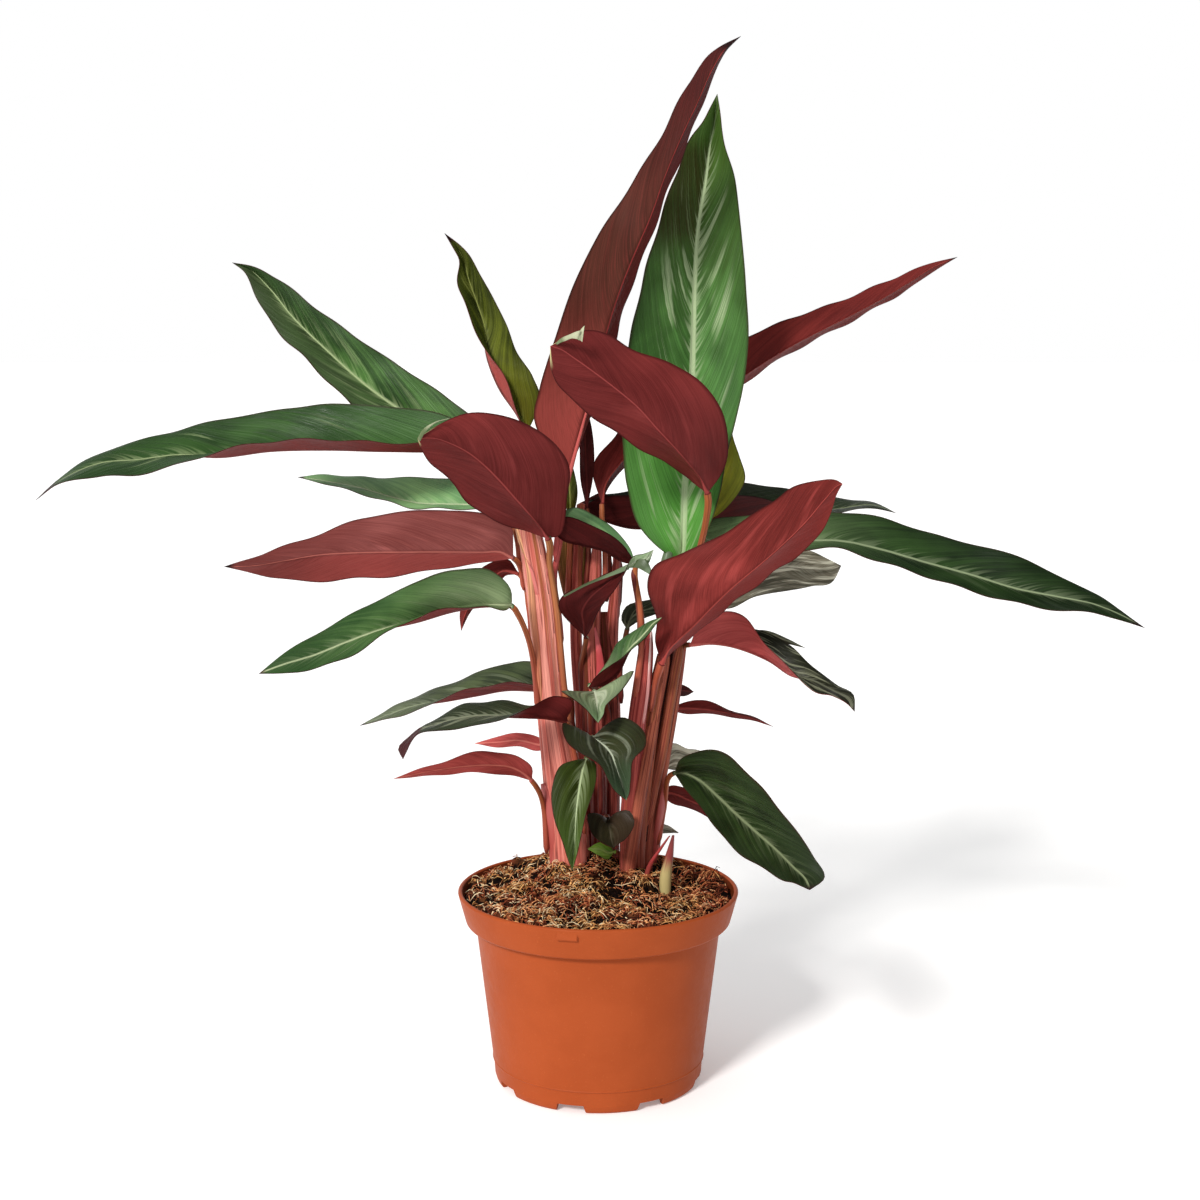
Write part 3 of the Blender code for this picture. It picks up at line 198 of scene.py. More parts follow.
# Shoots. `core` is (across, height, depth, radius) up the middle. The last two are young shoots that
# have just come through the soil.
SHOOTS = {
    "shoot_left": dict(look="shoot_pink", ridges=7, core=(
        (-14.5, 108, 30, 12.0), (-16.5, 140, 27, 11.0), (-20.3, 170, 24, 9.4), (-24.6, 200, 21, 7.6),
        (-27.3, 230, 17, 7.0), (-30.0, 260, 13, 6.8), (-34.5, 290, 9, 6.4), (-37.0, 308, 8, 5.2),
        (-36.0, 330, 8, 3.8), (-34.0, 346, 8, 2.2))),
    "stem_mid_left": dict(look="shoot_red", ridges=4, core=(
        (-5.0, 108, 46, 3.7), (-6.5, 150, 44, 3.5), (-9.0, 200, 40, 3.2), (-11.7, 240, 34, 3.0),
        (-10.8, 290, 26, 2.8), (-9.0, 314, 23, 2.2))),
    "stem_mid": dict(look="shoot_red", ridges=5, core=(
        (0.0, 108, 39, 3.9), (0.0, 150, 37, 3.9), (-1.0, 200, 33, 3.8), (-2.5, 240, 28, 3.6),
        (-1.2, 280, 22, 3.1), (-0.6, 295, 20, 2.2))),
    "stem_mid_right": dict(look="shoot_red", ridges=5, core=(
        (7.5, 108, 46, 4.3), (7.5, 150, 44, 4.3), (8.0, 200, 40, 4.1), (7.3, 240, 35, 3.4),
        (9.5, 275, 30, 2.3), (10.0, 287, 29, 1.7))),
    "stem_right_front": dict(look="shoot_front", ridges=5, core=(
        (15.5, 108, 16, 4.2), (16.0, 140, 14, 4.2), (18.5, 170, 11, 4.3), (21.0, 200, 8, 4.3),
        (23.8, 220, 5, 4.2), (25.4, 236, 3, 3.4), (26.2, 246, 2, 2.2))),
    "stem_right_mid": dict(look="shoot_brown", ridges=5, core=(
        (21.2, 108, 24, 4.3), (21.8, 140, 23, 4.2), (25.2, 170, 20, 3.9), (29.0, 200, 15, 3.7),
        (32.4, 222, 10, 3.3), (34.5, 234, 8, 2.6))),
    "stem_right_back": dict(look="shoot_brown", ridges=5, core=(
        (24.7, 108, 34, 4.6), (26.2, 130, 33, 4.5), (29.5, 150, 32, 4.3), (33.0, 170, 30, 4.2),
        (38.0, 200, 26, 4.1), (41.5, 225, 23, 4.0), (44.0, 245, 21, 3.6), (47.0, 270, 19, 3.0),
        (48.8, 290, 18, 2.1))),
    "bud_blade": dict(look="bud_blade_skin", ridges=3, young=True, core=(
        (25.6, 108, 14, 1.5), (28.0, 118, 13, 1.5), (33.0, 126, 10, 1.0), (38.6, 134.2, 8, 0.45))),
    "bud_spear": dict(look="bud_spear_skin", ridges=3, young=True, core=(
        (36.4, 102, 3, 3.2), (36.6, 112, 3, 3.3), (38.4, 122, 2, 2.4), (40.6, 134.5, 1, 0.6))),
}

# Leaves. Each row crosses the blade: first edge, midrib and its depth, second edge. The first and
# last rows are the blade's base and tip. `seen` is "under" where the underside mostly faces the
# viewer. `half` is the two halves' real width, and `fold` says whether each half leans away from
# the viewer (+1) or towards them (-1). `foot` is where the stalk leaves its shoot: the shoot, the
# angle round it from the front, and the heights between which the stalk lies along it. `stalk` is
# the stalk's points between there and the blade, and `stout` its radius at the blade. `top`,
# `under` and `stem` are the looks, where they aren't these.
USUAL_LOOKS = {"top": "leaf_green", "under": "leaf_maroon", "stem": "leaf_stalk"}

LEAVES = {
    "leaf_left_long": dict(
        top="leaf_vivid_green", stout=1.6, half=(25, 25), fold=(1, -1), foot=("shoot_left", -150, 300, 318),
        stalk=((-50, 340, 20),), rows=(
        (-60, 348.5, 20), (-80, 361, -82, 343, 22, -80, 347), (-110, 365.5, -110, 342.3, 25, -110, 346.5),
        (-141, 367, -142, 343, 26, -142, 348.3), (-166, 364, -172, 342.3, 24, -172, 347.3),
        (-198, 358.8, -200, 339, 18, -200, 342), (-218, 354, -221, 340, 12, -221, 335),
        (-237, 348.8, -242, 337.5, 6, -243, 329.8), (-259, 342.5, -263, 335.5, -2, -263, 328.4),
        (-273, 335.4, -275, 331, -8, -276, 327.4), (-283.5, 328, -284, 326.2, -11, -285, 324.6),
        (-297, 316.3, -15))),
    "leaf_left_high": dict(
        half=(21, 21), fold=(-1, -1), foot=("shoot_left", 180, 318, 332), stalk=((-46, 345, 30),), rows=(
        (-58, 343, 38), (-62, 356, -76, 349, 46, -86, 341), (-80, 371, -96, 359, 56, -112, 352.8),
        (-104, 386.8, -121, 376, 68, -133, 370), (-130, 404.3, -141, 394, 80, -152, 389.5),
        (-152, 420.5, -160, 413, 92, -169, 407), (-167, 432, -171, 427, 102, -178, 422.5),
        (-180, 438, -181.5, 436.8, 108, -184, 435.5), (-190, 440, 112))),
    "leaf_olive_narrow": dict(
        top="leaf_olive", under="leaf_rosy", half=(13, 12), fold=(-1, -1),
        foot=("shoot_left", 120, 322, 336), rows=(
        (-37, 352, 20), (-31, 366, -42, 361, 22, -40.5, 357), (-34, 381, -52, 376, 25, -46.5, 376),
        (-43, 395, -58.5, 394, 28, -56.5, 392), (-47.5, 408, -59.5, 407.5, 31, -65, 407),
        (-54, 420, -63, 419, 34, -70, 420), (-60.5, 433, -67.5, 432, 37, -73, 431),
        (-66.6, 443.5, -70, 442, 40, -72.2, 441), (-72.5, 449.2, -73.8, 448.4, 42, -75, 447.4),
        (-79.6, 455, 45))),
    "leaf_spoon_left": dict(
        seen="under", under="leaf_spoon_maroon", stem="leaf_stalk_gold", stout=1.7, half=(31, 27),
        fold=(1, 1), foot=("shoot_left", 62, 196, 282), rows=(
        (-26.5, 296, -8), (-20, 298.5, -31, 303, -14, -36, 299), (-16.5, 315, -37, 310, -24, -46, 302.5),
        (-15, 333, -44.5, 318.5, -34, -58, 307), (-22, 345.5, -52, 327, -43, -68.5, 314.5),
        (-36, 355.5, -60, 335, -52, -75.5, 324), (-52, 361.5, -69, 342, -62, -83, 331),
        (-68, 362, -78, 346.5, -71, -89.5, 337.5), (-82, 357, -86, 349, -79, -93, 343), (-95, 349, -85))),
    "leaf_left_mid": dict(
        top="leaf_misty_green", half=(16, 13), fold=(1, -1), foot=("shoot_left", -110, 282, 296), rows=(
        (-48, 310, 18), (-58, 320, -61, 313, 26, -60, 311.3), (-75, 327, -78, 313.8, 38, -78, 311.8),
        (-92, 328.3, -95, 314.5, 50, -95, 311.8), (-110, 328.3, -110, 318, 62, -110, 315),
        (-126, 328.5, -127, 323, 74, -127, 320.3), (-143, 330, -143, 326, 86, -143, 324.5),
        (-158.5, 328.5, 98))),
    "leaf_left_red": dict(
        seen="under", under="leaf_rosy", half=(24, 19), fold=(1, 1), foot=("shoot_left", -110, 268, 280),
        rows=(
        (-45, 285.5, 4), (-45.5, 302.5, -51, 289, 2, -51, 284.5), (-56, 308.3, -62, 289, 0, -61, 282.8),
        (-80, 311, -82, 289, -4, -82, 280.3), (-103, 310.4, -104, 288.8, -10, -104, 276.2),
        (-126, 306.3, -126, 288.5, -18, -126, 274.8), (-148, 298.3, -148, 287.2, -28, -148, 273),
        (-168, 291.2, -167, 284, -40, -168, 274.3), (-183, 286, -182, 281.5, -50, -183, 277.5),
        (-198.5, 281, -60))),
    "leaf_left_red_small": dict(
        seen="under", half=(9, 8), fold=(1, 1), foot=("shoot_left", -125, 240, 258), rows=(
        (-42, 277, 16), (-48, 285, -50, 279, 16, -49, 276), (-60, 281.5, -57, 274, 17, -53, 271),
        (-71, 266, -67.5, 262, 18, -63.5, 262), (-73.3, 254, -71.7, 253, 19, -70, 253.3),
        (-73, 246.5, 20))),
    "leaf_left_green": dict(
        top="leaf_sheen_green", stout=1.4, half=(21, 17), fold=(1, -1), foot=("shoot_left", -48, 205, 226),
        stalk=((-38.5, 246, -2), (-42.5, 255, -8)), rows=(
        (-46, 259.8, -14), (-46, 267, -49, 260, -18, -49, 257.6), (-55, 278, -60, 259.8, -24, -60, 259.5),
        (-75, 279.5, -77, 257, -36, -77, 258.8), (-96, 273.2, -96, 251.4, -50, -96, 254),
        (-115, 264, -115, 247, -64, -115, 243.8), (-134, 254.2, -134, 240.3, -78, -134, 232),
        (-152, 243.8, -152, 233, -92, -152, 226), (-168, 234.2, -167, 228.5, -104, -167, 223.6),
        (-181.5, 223.3, -115))),
    "leaf_left_behind": dict(
        top="leaf_dim_green", stem="leaf_stalk_dark", half=(16, 12), fold=(1, -1),
        foot=("stem_mid_left", -105, 178, 196), rows=(
        (-17, 214, 47), (-24, 225, -25, 214.3, 49, -25, 216.3), (-34, 229.7, -34, 214.4, 52, -34, 217.5),
        (-48, 229, -48, 214.6, 58, -48, 218.3), (-65, 223.8, -65, 211.6, 68, -65, 215.8),
        (-82, 216.8, -82, 208.4, 80, -82, 210.6), (-97, 211.5, -97, 206, 92, -97, 203),
        (-112, 204, -112, 201, 104, -112, 199), (-121, 199, -121.5, 197.3, 112, -121.5, 196.5),
        (-128, 195, 118))),
    "leaf_left_twisted": dict(
        top="leaf_twisted_green", under="leaf_plum", half=(12, 12), fold=(1, -1),
        foot=("shoot_left", 58, 158, 180), rows=(
        (-17.5, 197.5, 0), (-17, 205, -19.5, 198.3, -3, -15.5, 209),
        (-27, 207, -27, 199.7, -6, -22.5, 211.8), (-37, 206.3, -37, 199.9, -10, -35, 205.3),
        (-48, 208.6, -47, 200, -15, -46.5, 200.8), (-60, 207.8, -60, 200.5, -22, -60, 195.9),
        (-72, 207.3, -73, 199.3, -30, -73, 193.7), (-85, 199.3, -86, 195.8, -38, -86, 192.4),
        (-96.5, 193.4, -97, 191.4, -46, -97.5, 189.4), (-101.5, 189.2, -101.3, 187.6, -49, -100.5, 186),
        (-107.5, 182.5, -105.2, 182, -52, -102.7, 181.5), (-105, 176.5, -54))),
    "leaf_left_pink": dict(
        seen="under", top="leaf_grey_green", under="leaf_blush", half=(6, 5), fold=(1, 1),
        foot=("shoot_left", -158, 144, 160), rows=(
        (-25, 184, 40), (-31, 188.3, -31, 184.6, 43, -31, 181.5), (-42, 191, -42, 187, 50, -42, 183.5),
        (-54, 189, -54, 186, 58, -54, 183.2), (-66.5, 185.3, 66))),
    "leaf_left_low": dict(
        seen="under", top="leaf_grey_green", under="leaf_lit_rosy", half=(10, 8), fold=(1, 1),
        foot=("shoot_left", -66, 126, 150), rows=(
        (-36, 165, 6), (-35.3, 171, -39, 168, 3, -38.5, 165.6), (-42, 177.5, -46, 172, -3, -46, 167.5),
        (-55, 180.6, -58, 173.5, -14, -58, 168.9), (-67, 180.8, -70, 173, -25, -70, 169.2),
        (-83, 175.3, -84, 171.2, -38, -84, 168.2), (-98, 170.3, -98, 168.5, -50, -98, 167.2),
        (-110.5, 165.8, -60))),
    "leaf_crown_red": dict(
        seen="under", under="leaf_brown_maroon", stem="leaf_stalk_pink", stout=1.5, half=(20.5, 14),
        fold=(1, 1), foot=("shoot_left", 112, 238, 272), stalk=((-19.5, 300, 13), (-18.5, 318, 11)), rows=(
        (-15, 334, 8), (-26, 344, -12.2, 344, 6, -10, 344), (-33.5, 358, -8.3, 358, 4, -5, 358),
        (-31, 374, -3.5, 374, 2, 1.2, 374), (-22.5, 401, 3.4, 401, -2, 9.4, 401),
        (-12, 430.5, 11.7, 427, -6, 16.6, 426), (0.2, 454.3, 19.5, 446, -9, 24, 444),
        (12, 472, 27, 463, -12, 30.6, 462), (25.4, 492.5, 34.6, 484, -16, 38.6, 483),
        (38, 513, 43.5, 505, -22, 46.8, 504.5), (46.6, 530.2, 52, 523, -27, 54, 522),
        (52.2, 539.2, 57, 534.5, -31, 59.2, 534), (56.8, 544.6, 60.6, 541.2, -33.5, 62.1, 540.6),
        (62.6, 548.6, 64.4, 547, -35.5, 65.1, 546.4), (73, 554, -38))),
    "leaf_crown_green": dict(
        top="leaf_crown", half=(37, 27), fold=(-1, -1), foot=("stem_right_back", -60, 238, 256),
        stalk=((44, 274, 14),), rows=(
        (44, 284, 14), (36, 288, 45, 291, 15, 52, 290), (22, 302, 45.5, 305, 18, 59, 302),
        (15.5, 322, 46, 322, 22, 64.5, 322), (13, 345, 47.5, 345, 25, 69, 345),
        (12.4, 375, 49, 375, 28, 76, 375), (16.4, 400, 49.5, 400, 30, 78.5, 400),
        (23, 430, 50, 430, 32, 76.8, 430), (31.5, 460, 51.8, 460, 34, 73.8, 460),
        (39.8, 484, 55.3, 482, 36, 70.7, 482), (48, 503.5, 58, 501.5, 37.5, 65, 501.5),
        (53.4, 510.5, 59.6, 508.5, 38.4, 63.6, 508.5), (58, 517.2, 60.3, 516.2, 39.2, 61.9, 516.2),
        (61.2, 525.3, 40))),
    "leaf_spoon_right": dict(
        seen="under", under="leaf_spoon_maroon", stout=1.7, half=(35, 26), fold=(1, 1),
        foot=("stem_right_back", 25, 256, 272), stalk=((54, 291, 3), (57, 305, -2)), rows=(
        (57.7, 320, -8), (64, 329, 54, 328, -12, 50.5, 325), (68.8, 343, 48.5, 335, -22, 45, 330.5),
        (66, 360, 41, 343.5, -32, 35, 336), (55, 377.5, 31.5, 353.5, -42, 23, 343),
        (38, 388, 20.5, 365.5, -51, 9, 352), (20, 394.5, 9, 375, -59, -3, 360),
        (5, 403, -3, 384, -66, -14, 369.5), (-8, 405, -13, 391, -72, -22.5, 379),
        (-18, 401, -20, 395.5, -77, -25, 388), (-25, 397, -80))),
    "leaf_mid_folded": dict(
        top="leaf_misty_green", under="leaf_dark_maroon", half=(18, 17), fold=(1, -1),
        foot=("stem_right_front", -28, 212, 234), stalk=((22, 262, -4), (19.5, 277, -2)), rows=(
        (19.3, 284, -2), (17.3, 290, 13, 285, -1, 16, 288.5), (12, 298, 4, 289.6, 1, 8, 296.5),
        (0, 307, -8.5, 292.6, 4, -3.5, 303.5), (-13, 313.5, -19, 295.5, 5, -15, 309.5), (-26, 304, 5))),
    "leaf_olive_behind": dict(
        top="leaf_lit_olive", half=(14, 14), fold=(-1, -1), foot=("stem_right_back", 150, 262, 278),
        stalk=((52, 294, 36),), rows=(
        (56.5, 304, 46), (54, 313, 60.5, 313, 50, 68, 312), (50, 325, 63.5, 325, 54, 77, 325),
        (54, 339, 65, 340, 57, 74.5, 339), (61, 350, 66, 350, 59, 71, 350), (69, 358, 61))),
    "leaf_olive_sliver": dict(
        top="leaf_olive", half=(5, 5), fold=(-1, -1), foot=("stem_mid_left", -60, 262, 282), rows=(
        (-14.5, 304, 22), (-18, 318, -15, 318, 22, -11, 318), (-18.5, 330, -15.5, 331, 23, -12.3, 330),
        (-16, 343, 24))),
    "leaf_erect_narrow": dict(
        seen="under", top="leaf_deep_green", under="leaf_dark_maroon", stem="leaf_stalk_dark",
        half=(4.5, 4.5), fold=(1, 1), foot=("stem_mid", -120, 270, 286), rows=(
        (-6, 312, 25), (-9, 326, -6, 326, 25, -3, 326), (-9.8, 341, -6.5, 341, 25, -2, 341),
        (-9.3, 354, -6.8, 354, 25, -3.2, 354), (-8, 372, 25))),
    "leaf_front_hanging": dict(
        top="leaf_hanging_green", half=(15, 9.5), fold=(-1, -1), foot=("shoot_left", 44, 138, 158),
        stalk=((-8, 173, 9),), rows=(
        (-6.5, 177, 2), (-12, 176.3, -8, 173.5, -3, -1.5, 174.5), (-20, 173.5, -9, 168, -7, -1, 168),
        (-25, 161, -10.5, 158, -12, -2.8, 157.5), (-24, 146.5, -11.8, 146, -16, -6.3, 146),
        (-20.2, 132.5, -12.5, 133.5, -20, -9.8, 133), (-16.3, 123, -13.3, 123, -23, -12.3, 123),
        (-14, 115, -25))),
    "leaf_front_heart": dict(
        top="leaf_heart_green", stem="leaf_stalk_dark", half=(21, 24), fold=(-1, -1),
        foot=("stem_mid", 14, 148, 168), stalk=((-0.5, 184, 22),), rows=(
        (-3, 188.5, 6), (-12, 192.5, -1, 187, 1, 4, 195.5), (-19, 196.5, 1.5, 185, -6, 14, 199.5),
        (-17, 187.5, 4.5, 182.5, -13, 24, 193), (-9, 179.5, 7.5, 178.5, -21, 25.3, 184.5),
        (0, 173.3, 9.5, 173, -29, 18.5, 176.5), (7, 166, 11.8, 166, -37, 16.6, 166),
        (12, 158.5, 13.8, 159.5, -44, 15.8, 159), (15.2, 154, -50))),
    "leaf_front_pale": dict(
        top="leaf_marbled", under="leaf_dark_maroon", stem="leaf_stalk_dark", half=(19, 22), fold=(-1, -1),
        foot=("stem_mid", -34, 176, 192), stalk=((-4.2, 206.5, 20),), rows=(
        (-2, 213.5, 10), (-11, 214, -1.5, 211.5, 4, 9, 219), (-19.5, 214.3, -1, 209.5, -3, 19, 225),
        (-14, 209.5, -0.6, 207, -10, 12, 214.5), (-7.5, 204, -0.3, 204, -16, 4, 206.5),
        (-2.7, 200.8, 0, 200.5, -21, 2, 201.5), (0, 196.5, -26))),
    "leaf_front_folded": dict(
        top="leaf_sheen_green", under="leaf_dark_maroon", stem="leaf_stalk_dark", half=(9, 7), fold=(1, -1),
        foot=("stem_mid_right", -20, 182, 200), stalk=((0.5, 214, 21),), rows=(
        (-4.5, 217, 12), (1.5, 226.5, 1, 217.8, 8, -2, 221.3), (6, 234.5, 9, 222.5, 2, 6, 228.3),
        (13, 242.5, 17, 236, -6, 16, 234.5), (22, 248.5, 24.5, 244, -14, 25, 242.5),
        (29, 252.3, 30, 250.5, -20, 30.5, 249.8), (34.5, 254, -24))),
    "leaf_front_red": dict(
        seen="under", top="leaf_marbled", under="leaf_dark_maroon", stem="leaf_stalk_dark", half=(13, 9),
        fold=(1, -1), foot=("stem_mid_left", 20, 206, 226), rows=(
        (-6.5, 243, 16), (-14, 250, -7, 250, 10, -4, 247.5), (-21, 260.5, -8, 258, 2, -1, 254.5),
        (-17, 267, -4, 264.5, -5, 3, 261), (-6, 270.8, 4, 271, -12, 8, 268),
        (6, 278, 12, 277, -18, 14, 277), (18, 281, 19, 283.5, -23, 19, 286.5),
        (25.5, 281, 25, 284.5, -27, 24.5, 288), (29.5, 290, -30))),
    "leaf_front_low": dict(
        top="leaf_dusky", stem="leaf_stalk_dark", half=(12, 13), fold=(-1, -1),
        foot=("stem_mid", 10, 127, 140), stalk=((4.0, 144.5, 20),), rows=(
        (5, 143.5, 8), (0, 147, 5.3, 141.5, 5, 10, 147), (-5.3, 146.5, 5.8, 139.5, 1, 17, 148),
        (-4.8, 139, 6.4, 137, -3, 19.5, 141.5), (-1.5, 132.5, 7, 133, -7, 15.5, 133.8),
        (4, 129, 7.8, 130, -11, 11, 130), (8.5, 127.5, -14))),
    "leaf_front_bright": dict(
        top="leaf_bright_green", stem="leaf_stalk_dark", half=(5, 5), fold=(-1, -1),
        foot=("stem_right_front", -120, 121, 124), rows=(
        (8.8, 125.5, 17), (7, 128, 6, 125, 15, 6.2, 121.8), (0.5, 131, 0, 127, 11, 0, 123.5),
        (-5.8, 127, 8))),
    "leaf_right_high": dict(
        seen="under", half=(21, 19), fold=(1, 1), foot=("stem_mid", 100, 268, 286), rows=(
        (2, 314, 25), (-3, 331, 2.5, 322, 28, 3.5, 319), (9, 350, 10, 334.5, 34, 11, 331),
        (30, 371.6, 32, 351, 52, 34, 346.8), (55, 389, 56, 367, 68, 58, 362),
        (79, 402.3, 80, 384, 80, 80, 380.3), (100, 411.2, 101, 397, 92, 102, 394.3),
        (125, 419.2, 126, 410, 104, 127, 408), (146, 427.8, 147, 421, 115, 148, 419.6),
        (163, 434.5, 163.5, 431, 124, 164, 429.8), (173, 438.3, 174, 437.6, 129, 174.5, 437),
        (186.5, 442.8, 134))),
    "leaf_right_tucked": dict(
        top="leaf_deep_green", under="leaf_dark_maroon", stem="leaf_stalk_dark", half=(27, 23),
        fold=(1, -1), foot=("stem_mid_right", 150, 258, 280), rows=(
        (-7.5, 313, 33), (0, 319, 1.5, 307.2, 38, 0, 317.8), (14, 322, 15, 302.4, 44, 14, 320.6),
        (36, 325, 37, 302.5, 56, 35, 321), (60, 325.5, 62, 304, 70, 60, 321),
        (82, 325, 83, 305.5, 84, 82, 318), (105, 321, 106, 308, 98, 106, 313),
        (127, 317, 128, 311.5, 112, 128, 310), (145, 315.3, 146, 313.3, 122, 146, 312),
        (157.5, 309.5, 128))),
    "leaf_mid_red": dict(
        seen="under", top="leaf_deep_green", under="leaf_dark_maroon", stem="leaf_stalk_dark", half=(9, 8),
        fold=(1, 1), foot=("stem_mid_right", -120, 262, 280), rows=(
        (3, 302, 38), (6.5, 309, 3, 307, 39, 0, 306), (7, 317, 2, 314, 40, -3, 312),
        (2, 320.5, -2, 317, 41, -6, 314), (-9, 315, 42))),
    "leaf_right_front": dict(
        seen="under", under="leaf_red", stem="leaf_stalk_blend", stout=1.9, half=(36, 26), fold=(1, 1),
        foot=("stem_right_mid", -15, 204, 219), rows=(
        (34, 229, -4), (31, 240, 37.5, 236, -10, 40, 235.5), (31, 251, 43, 242, -18, 46, 240.5),
        (26.7, 268, 51.5, 250, -30, 55, 247), (29, 280.5, 61, 260, -42, 65.5, 256.5),
        (46, 289, 72.5, 271, -56, 77, 265.5), (68, 299.5, 84.5, 281, -70, 90, 275.5),
        (88, 313, 97, 292, -86, 102.5, 284.5), (104, 323.5, 110, 305, -102, 115, 295),
        (117, 327, 120, 317, -116, 123, 309.5), (126, 326.8, 126.5, 324, -126, 126.5, 320.5),
        (129, 325, -131))),
    "leaf_right_long": dict(
        top="leaf_long_green", half=(21, 17), fold=(1, -1), foot=("stem_right_back", 85, 254, 270), rows=(
        (50, 298, 24), (58, 305.5, 62, 294, 24, 66, 286), (78, 308, 80, 293.5, 24, 82, 288),
        (100, 309, 102, 294, 24, 102, 289.5), (128, 310, 130, 294, 24, 130, 290),
        (150, 307.1, 150, 289.7, 23, 150, 283.4), (175, 299, 174, 282.8, 20, 174, 275.8),
        (200, 292.6, 199, 276, 16, 198, 268), (225, 285.8, 222, 269, 12, 221, 261.8),
        (248, 274, 246, 264.3, 7, 245, 257.5), (266, 266, 264, 260.5, 3, 264, 256),
        (275, 259.6, 275, 256.3, 1, 275, 253.2), (291.5, 248, -2))),
    "leaf_right_grey": dict(
        top="leaf_ash", half=(14, 13), fold=(1, -1), foot=("stem_right_back", 170, 234, 246), rows=(
        (54, 262, 32), (62, 275, 66, 267, 40, 68, 258.6), (80, 287, 84, 277, 52, 84, 265),
        (97, 291.5, 100, 281, 64, 100, 268), (112, 289.5, 114, 280, 74, 114, 270.5),
        (122, 285, 124, 280, 80, 125, 273.5), (129, 281.5, 83))),
    "leaf_right_twisted": dict(
        top="leaf_striped_green", under="leaf_wine", stem="leaf_stalk_dark", half=(15, 15), fold=(1, -1),
        foot=("stem_right_back", 185, 222, 236), rows=(
        (49, 239, 12), (54, 246, 56, 240.3, 11, 54, 251), (66, 248, 68, 239.3, 8, 66, 257),
        (80, 248, 80, 235.7, 4, 79, 254.2), (93, 244.3, 92, 230, 0, 90, 238),
        (104, 237.6, 103, 222.4, -5, 102, 226), (115, 226.6, 114, 219.5, -11, 115, 214.6),
        (128, 217.3, 127, 213.5, -17, 126, 210.6), (137, 211.5, 135.5, 209, -21, 133.4, 207),
        (137.6, 202.6, -23))),
    "leaf_right_sliver": dict(
        top="leaf_striped_green", stem="leaf_stalk_dark", half=(3, 3), fold=(1, -1),
        foot=("stem_right_back", 185, 232, 243), stalk=((52, 250, 34), (60, 247, 37)), rows=(
        (70, 243, 40), (85, 247, 85, 245.5, 46, 85, 244), (100, 242.8, 101, 241, 54, 101, 239.5),
        (110.5, 237.3, 60))),
    "leaf_mid_grey": dict(
        top="leaf_grey_green", stem="leaf_stalk_dark", half=(7, 7), fold=(-1, -1),
        foot=("stem_mid_right", 50, 208, 226), stalk=((14, 240, 26),), rows=(
        (15.5, 247.5, 22), (12.5, 252, 16.5, 251.5, 22, 18, 249.5), (15, 260, 21, 256, 21, 23, 253),
        (25, 263, 28, 258.5, 21, 29, 255), (34, 263.5, 35, 260, 20, 36, 257), (43, 261, 20))),
    "leaf_right_thin": dict(
        seen="under", top="leaf_grey_green", half=(6, 5), fold=(1, 1),
        foot=("stem_right_back", 165, 176, 192), rows=(
        (38, 204, 42), (44, 207, 44, 204.5, 46, 44, 202), (57, 209, 57, 204, 56, 57, 201.7),
        (70, 203.5, 70, 201.8, 66, 70, 200), (82, 200.2, 82, 199.2, 76, 82, 198.2), (94, 194.5, 86))),
    "leaf_right_curl": dict(
        seen="under", top="leaf_grey_green", under="leaf_dark_maroon", half=(4, 4), fold=(1, 1),
        foot=("stem_right_back", -165, 190, 204), rows=(
        (38, 213, 42), (43, 217.3, 43.5, 214.3, 46, 43, 211.3), (48, 216, 48, 213.8, 52, 48, 211.6),
        (51, 213.5, 56))),
    "leaf_right_low": dict(
        top="leaf_deep_green", half=(26, 22), fold=(-1, -1), foot=("stem_right_back", 72, 130, 150), rows=(
        (41, 169, 12), (44, 176.5, 46.5, 169, 6, 44.5, 163.5), (55, 181.3, 54, 165.5, -2, 50.5, 155.5),
        (70, 179, 64, 156.5, -16, 58.5, 146), (83.3, 165.8, 75, 146, -32, 67, 134.2),
        (96.2, 151.8, 86, 136, -48, 77, 124.2), (107.3, 136.4, 97, 126, -64, 90, 115.6),
        (117.5, 122, 106, 116.5, -79, 101, 109.5), (122.5, 110, 112.5, 109.5, -90, 108, 107.2),
        (115, 104, -96))),
    "leaf_right_low_red": dict(
        seen="under", top="leaf_grey_green", half=(8, 7), fold=(1, 1),
        foot=("stem_right_back", 112, 124, 136), rows=(
        (33, 158, 42), (37.5, 161.5, 38.5, 158, 44, 37.5, 153.8), (47, 161, 49, 154, 50, 47, 150.3),
        (60, 153, 61, 148, 58, 59, 144.8), (71, 143, 71, 140, 66, 70, 138), (80, 132, 74))),
    "leaf_right_low_grey": dict(
        top="leaf_ash", half=(8, 8), fold=(-1, -1), foot=("stem_right_back", -165, 150, 161), rows=(
        (34.5, 172, 46), (38.5, 184, 40, 177, 50, 39, 171), (48, 182.5, 50, 176, 58, 49, 170),
        (56, 181, 58, 175, 66, 57, 170), (67, 174, 74))),
    "leaf_right_small": dict(
        top="leaf_ash", half=(4, 4), fold=(-1, -1), foot=("stem_right_back", 165, 117, 123),
        stalk=((26.2, 129, 43.5),), rows=(
        (28, 135.5, 45), (30.5, 141.2, 32, 138.2, 47, 32, 135.6), (37, 140.4, 37, 138, 49, 37, 135.8),
        (43.5, 136, 50))),
}

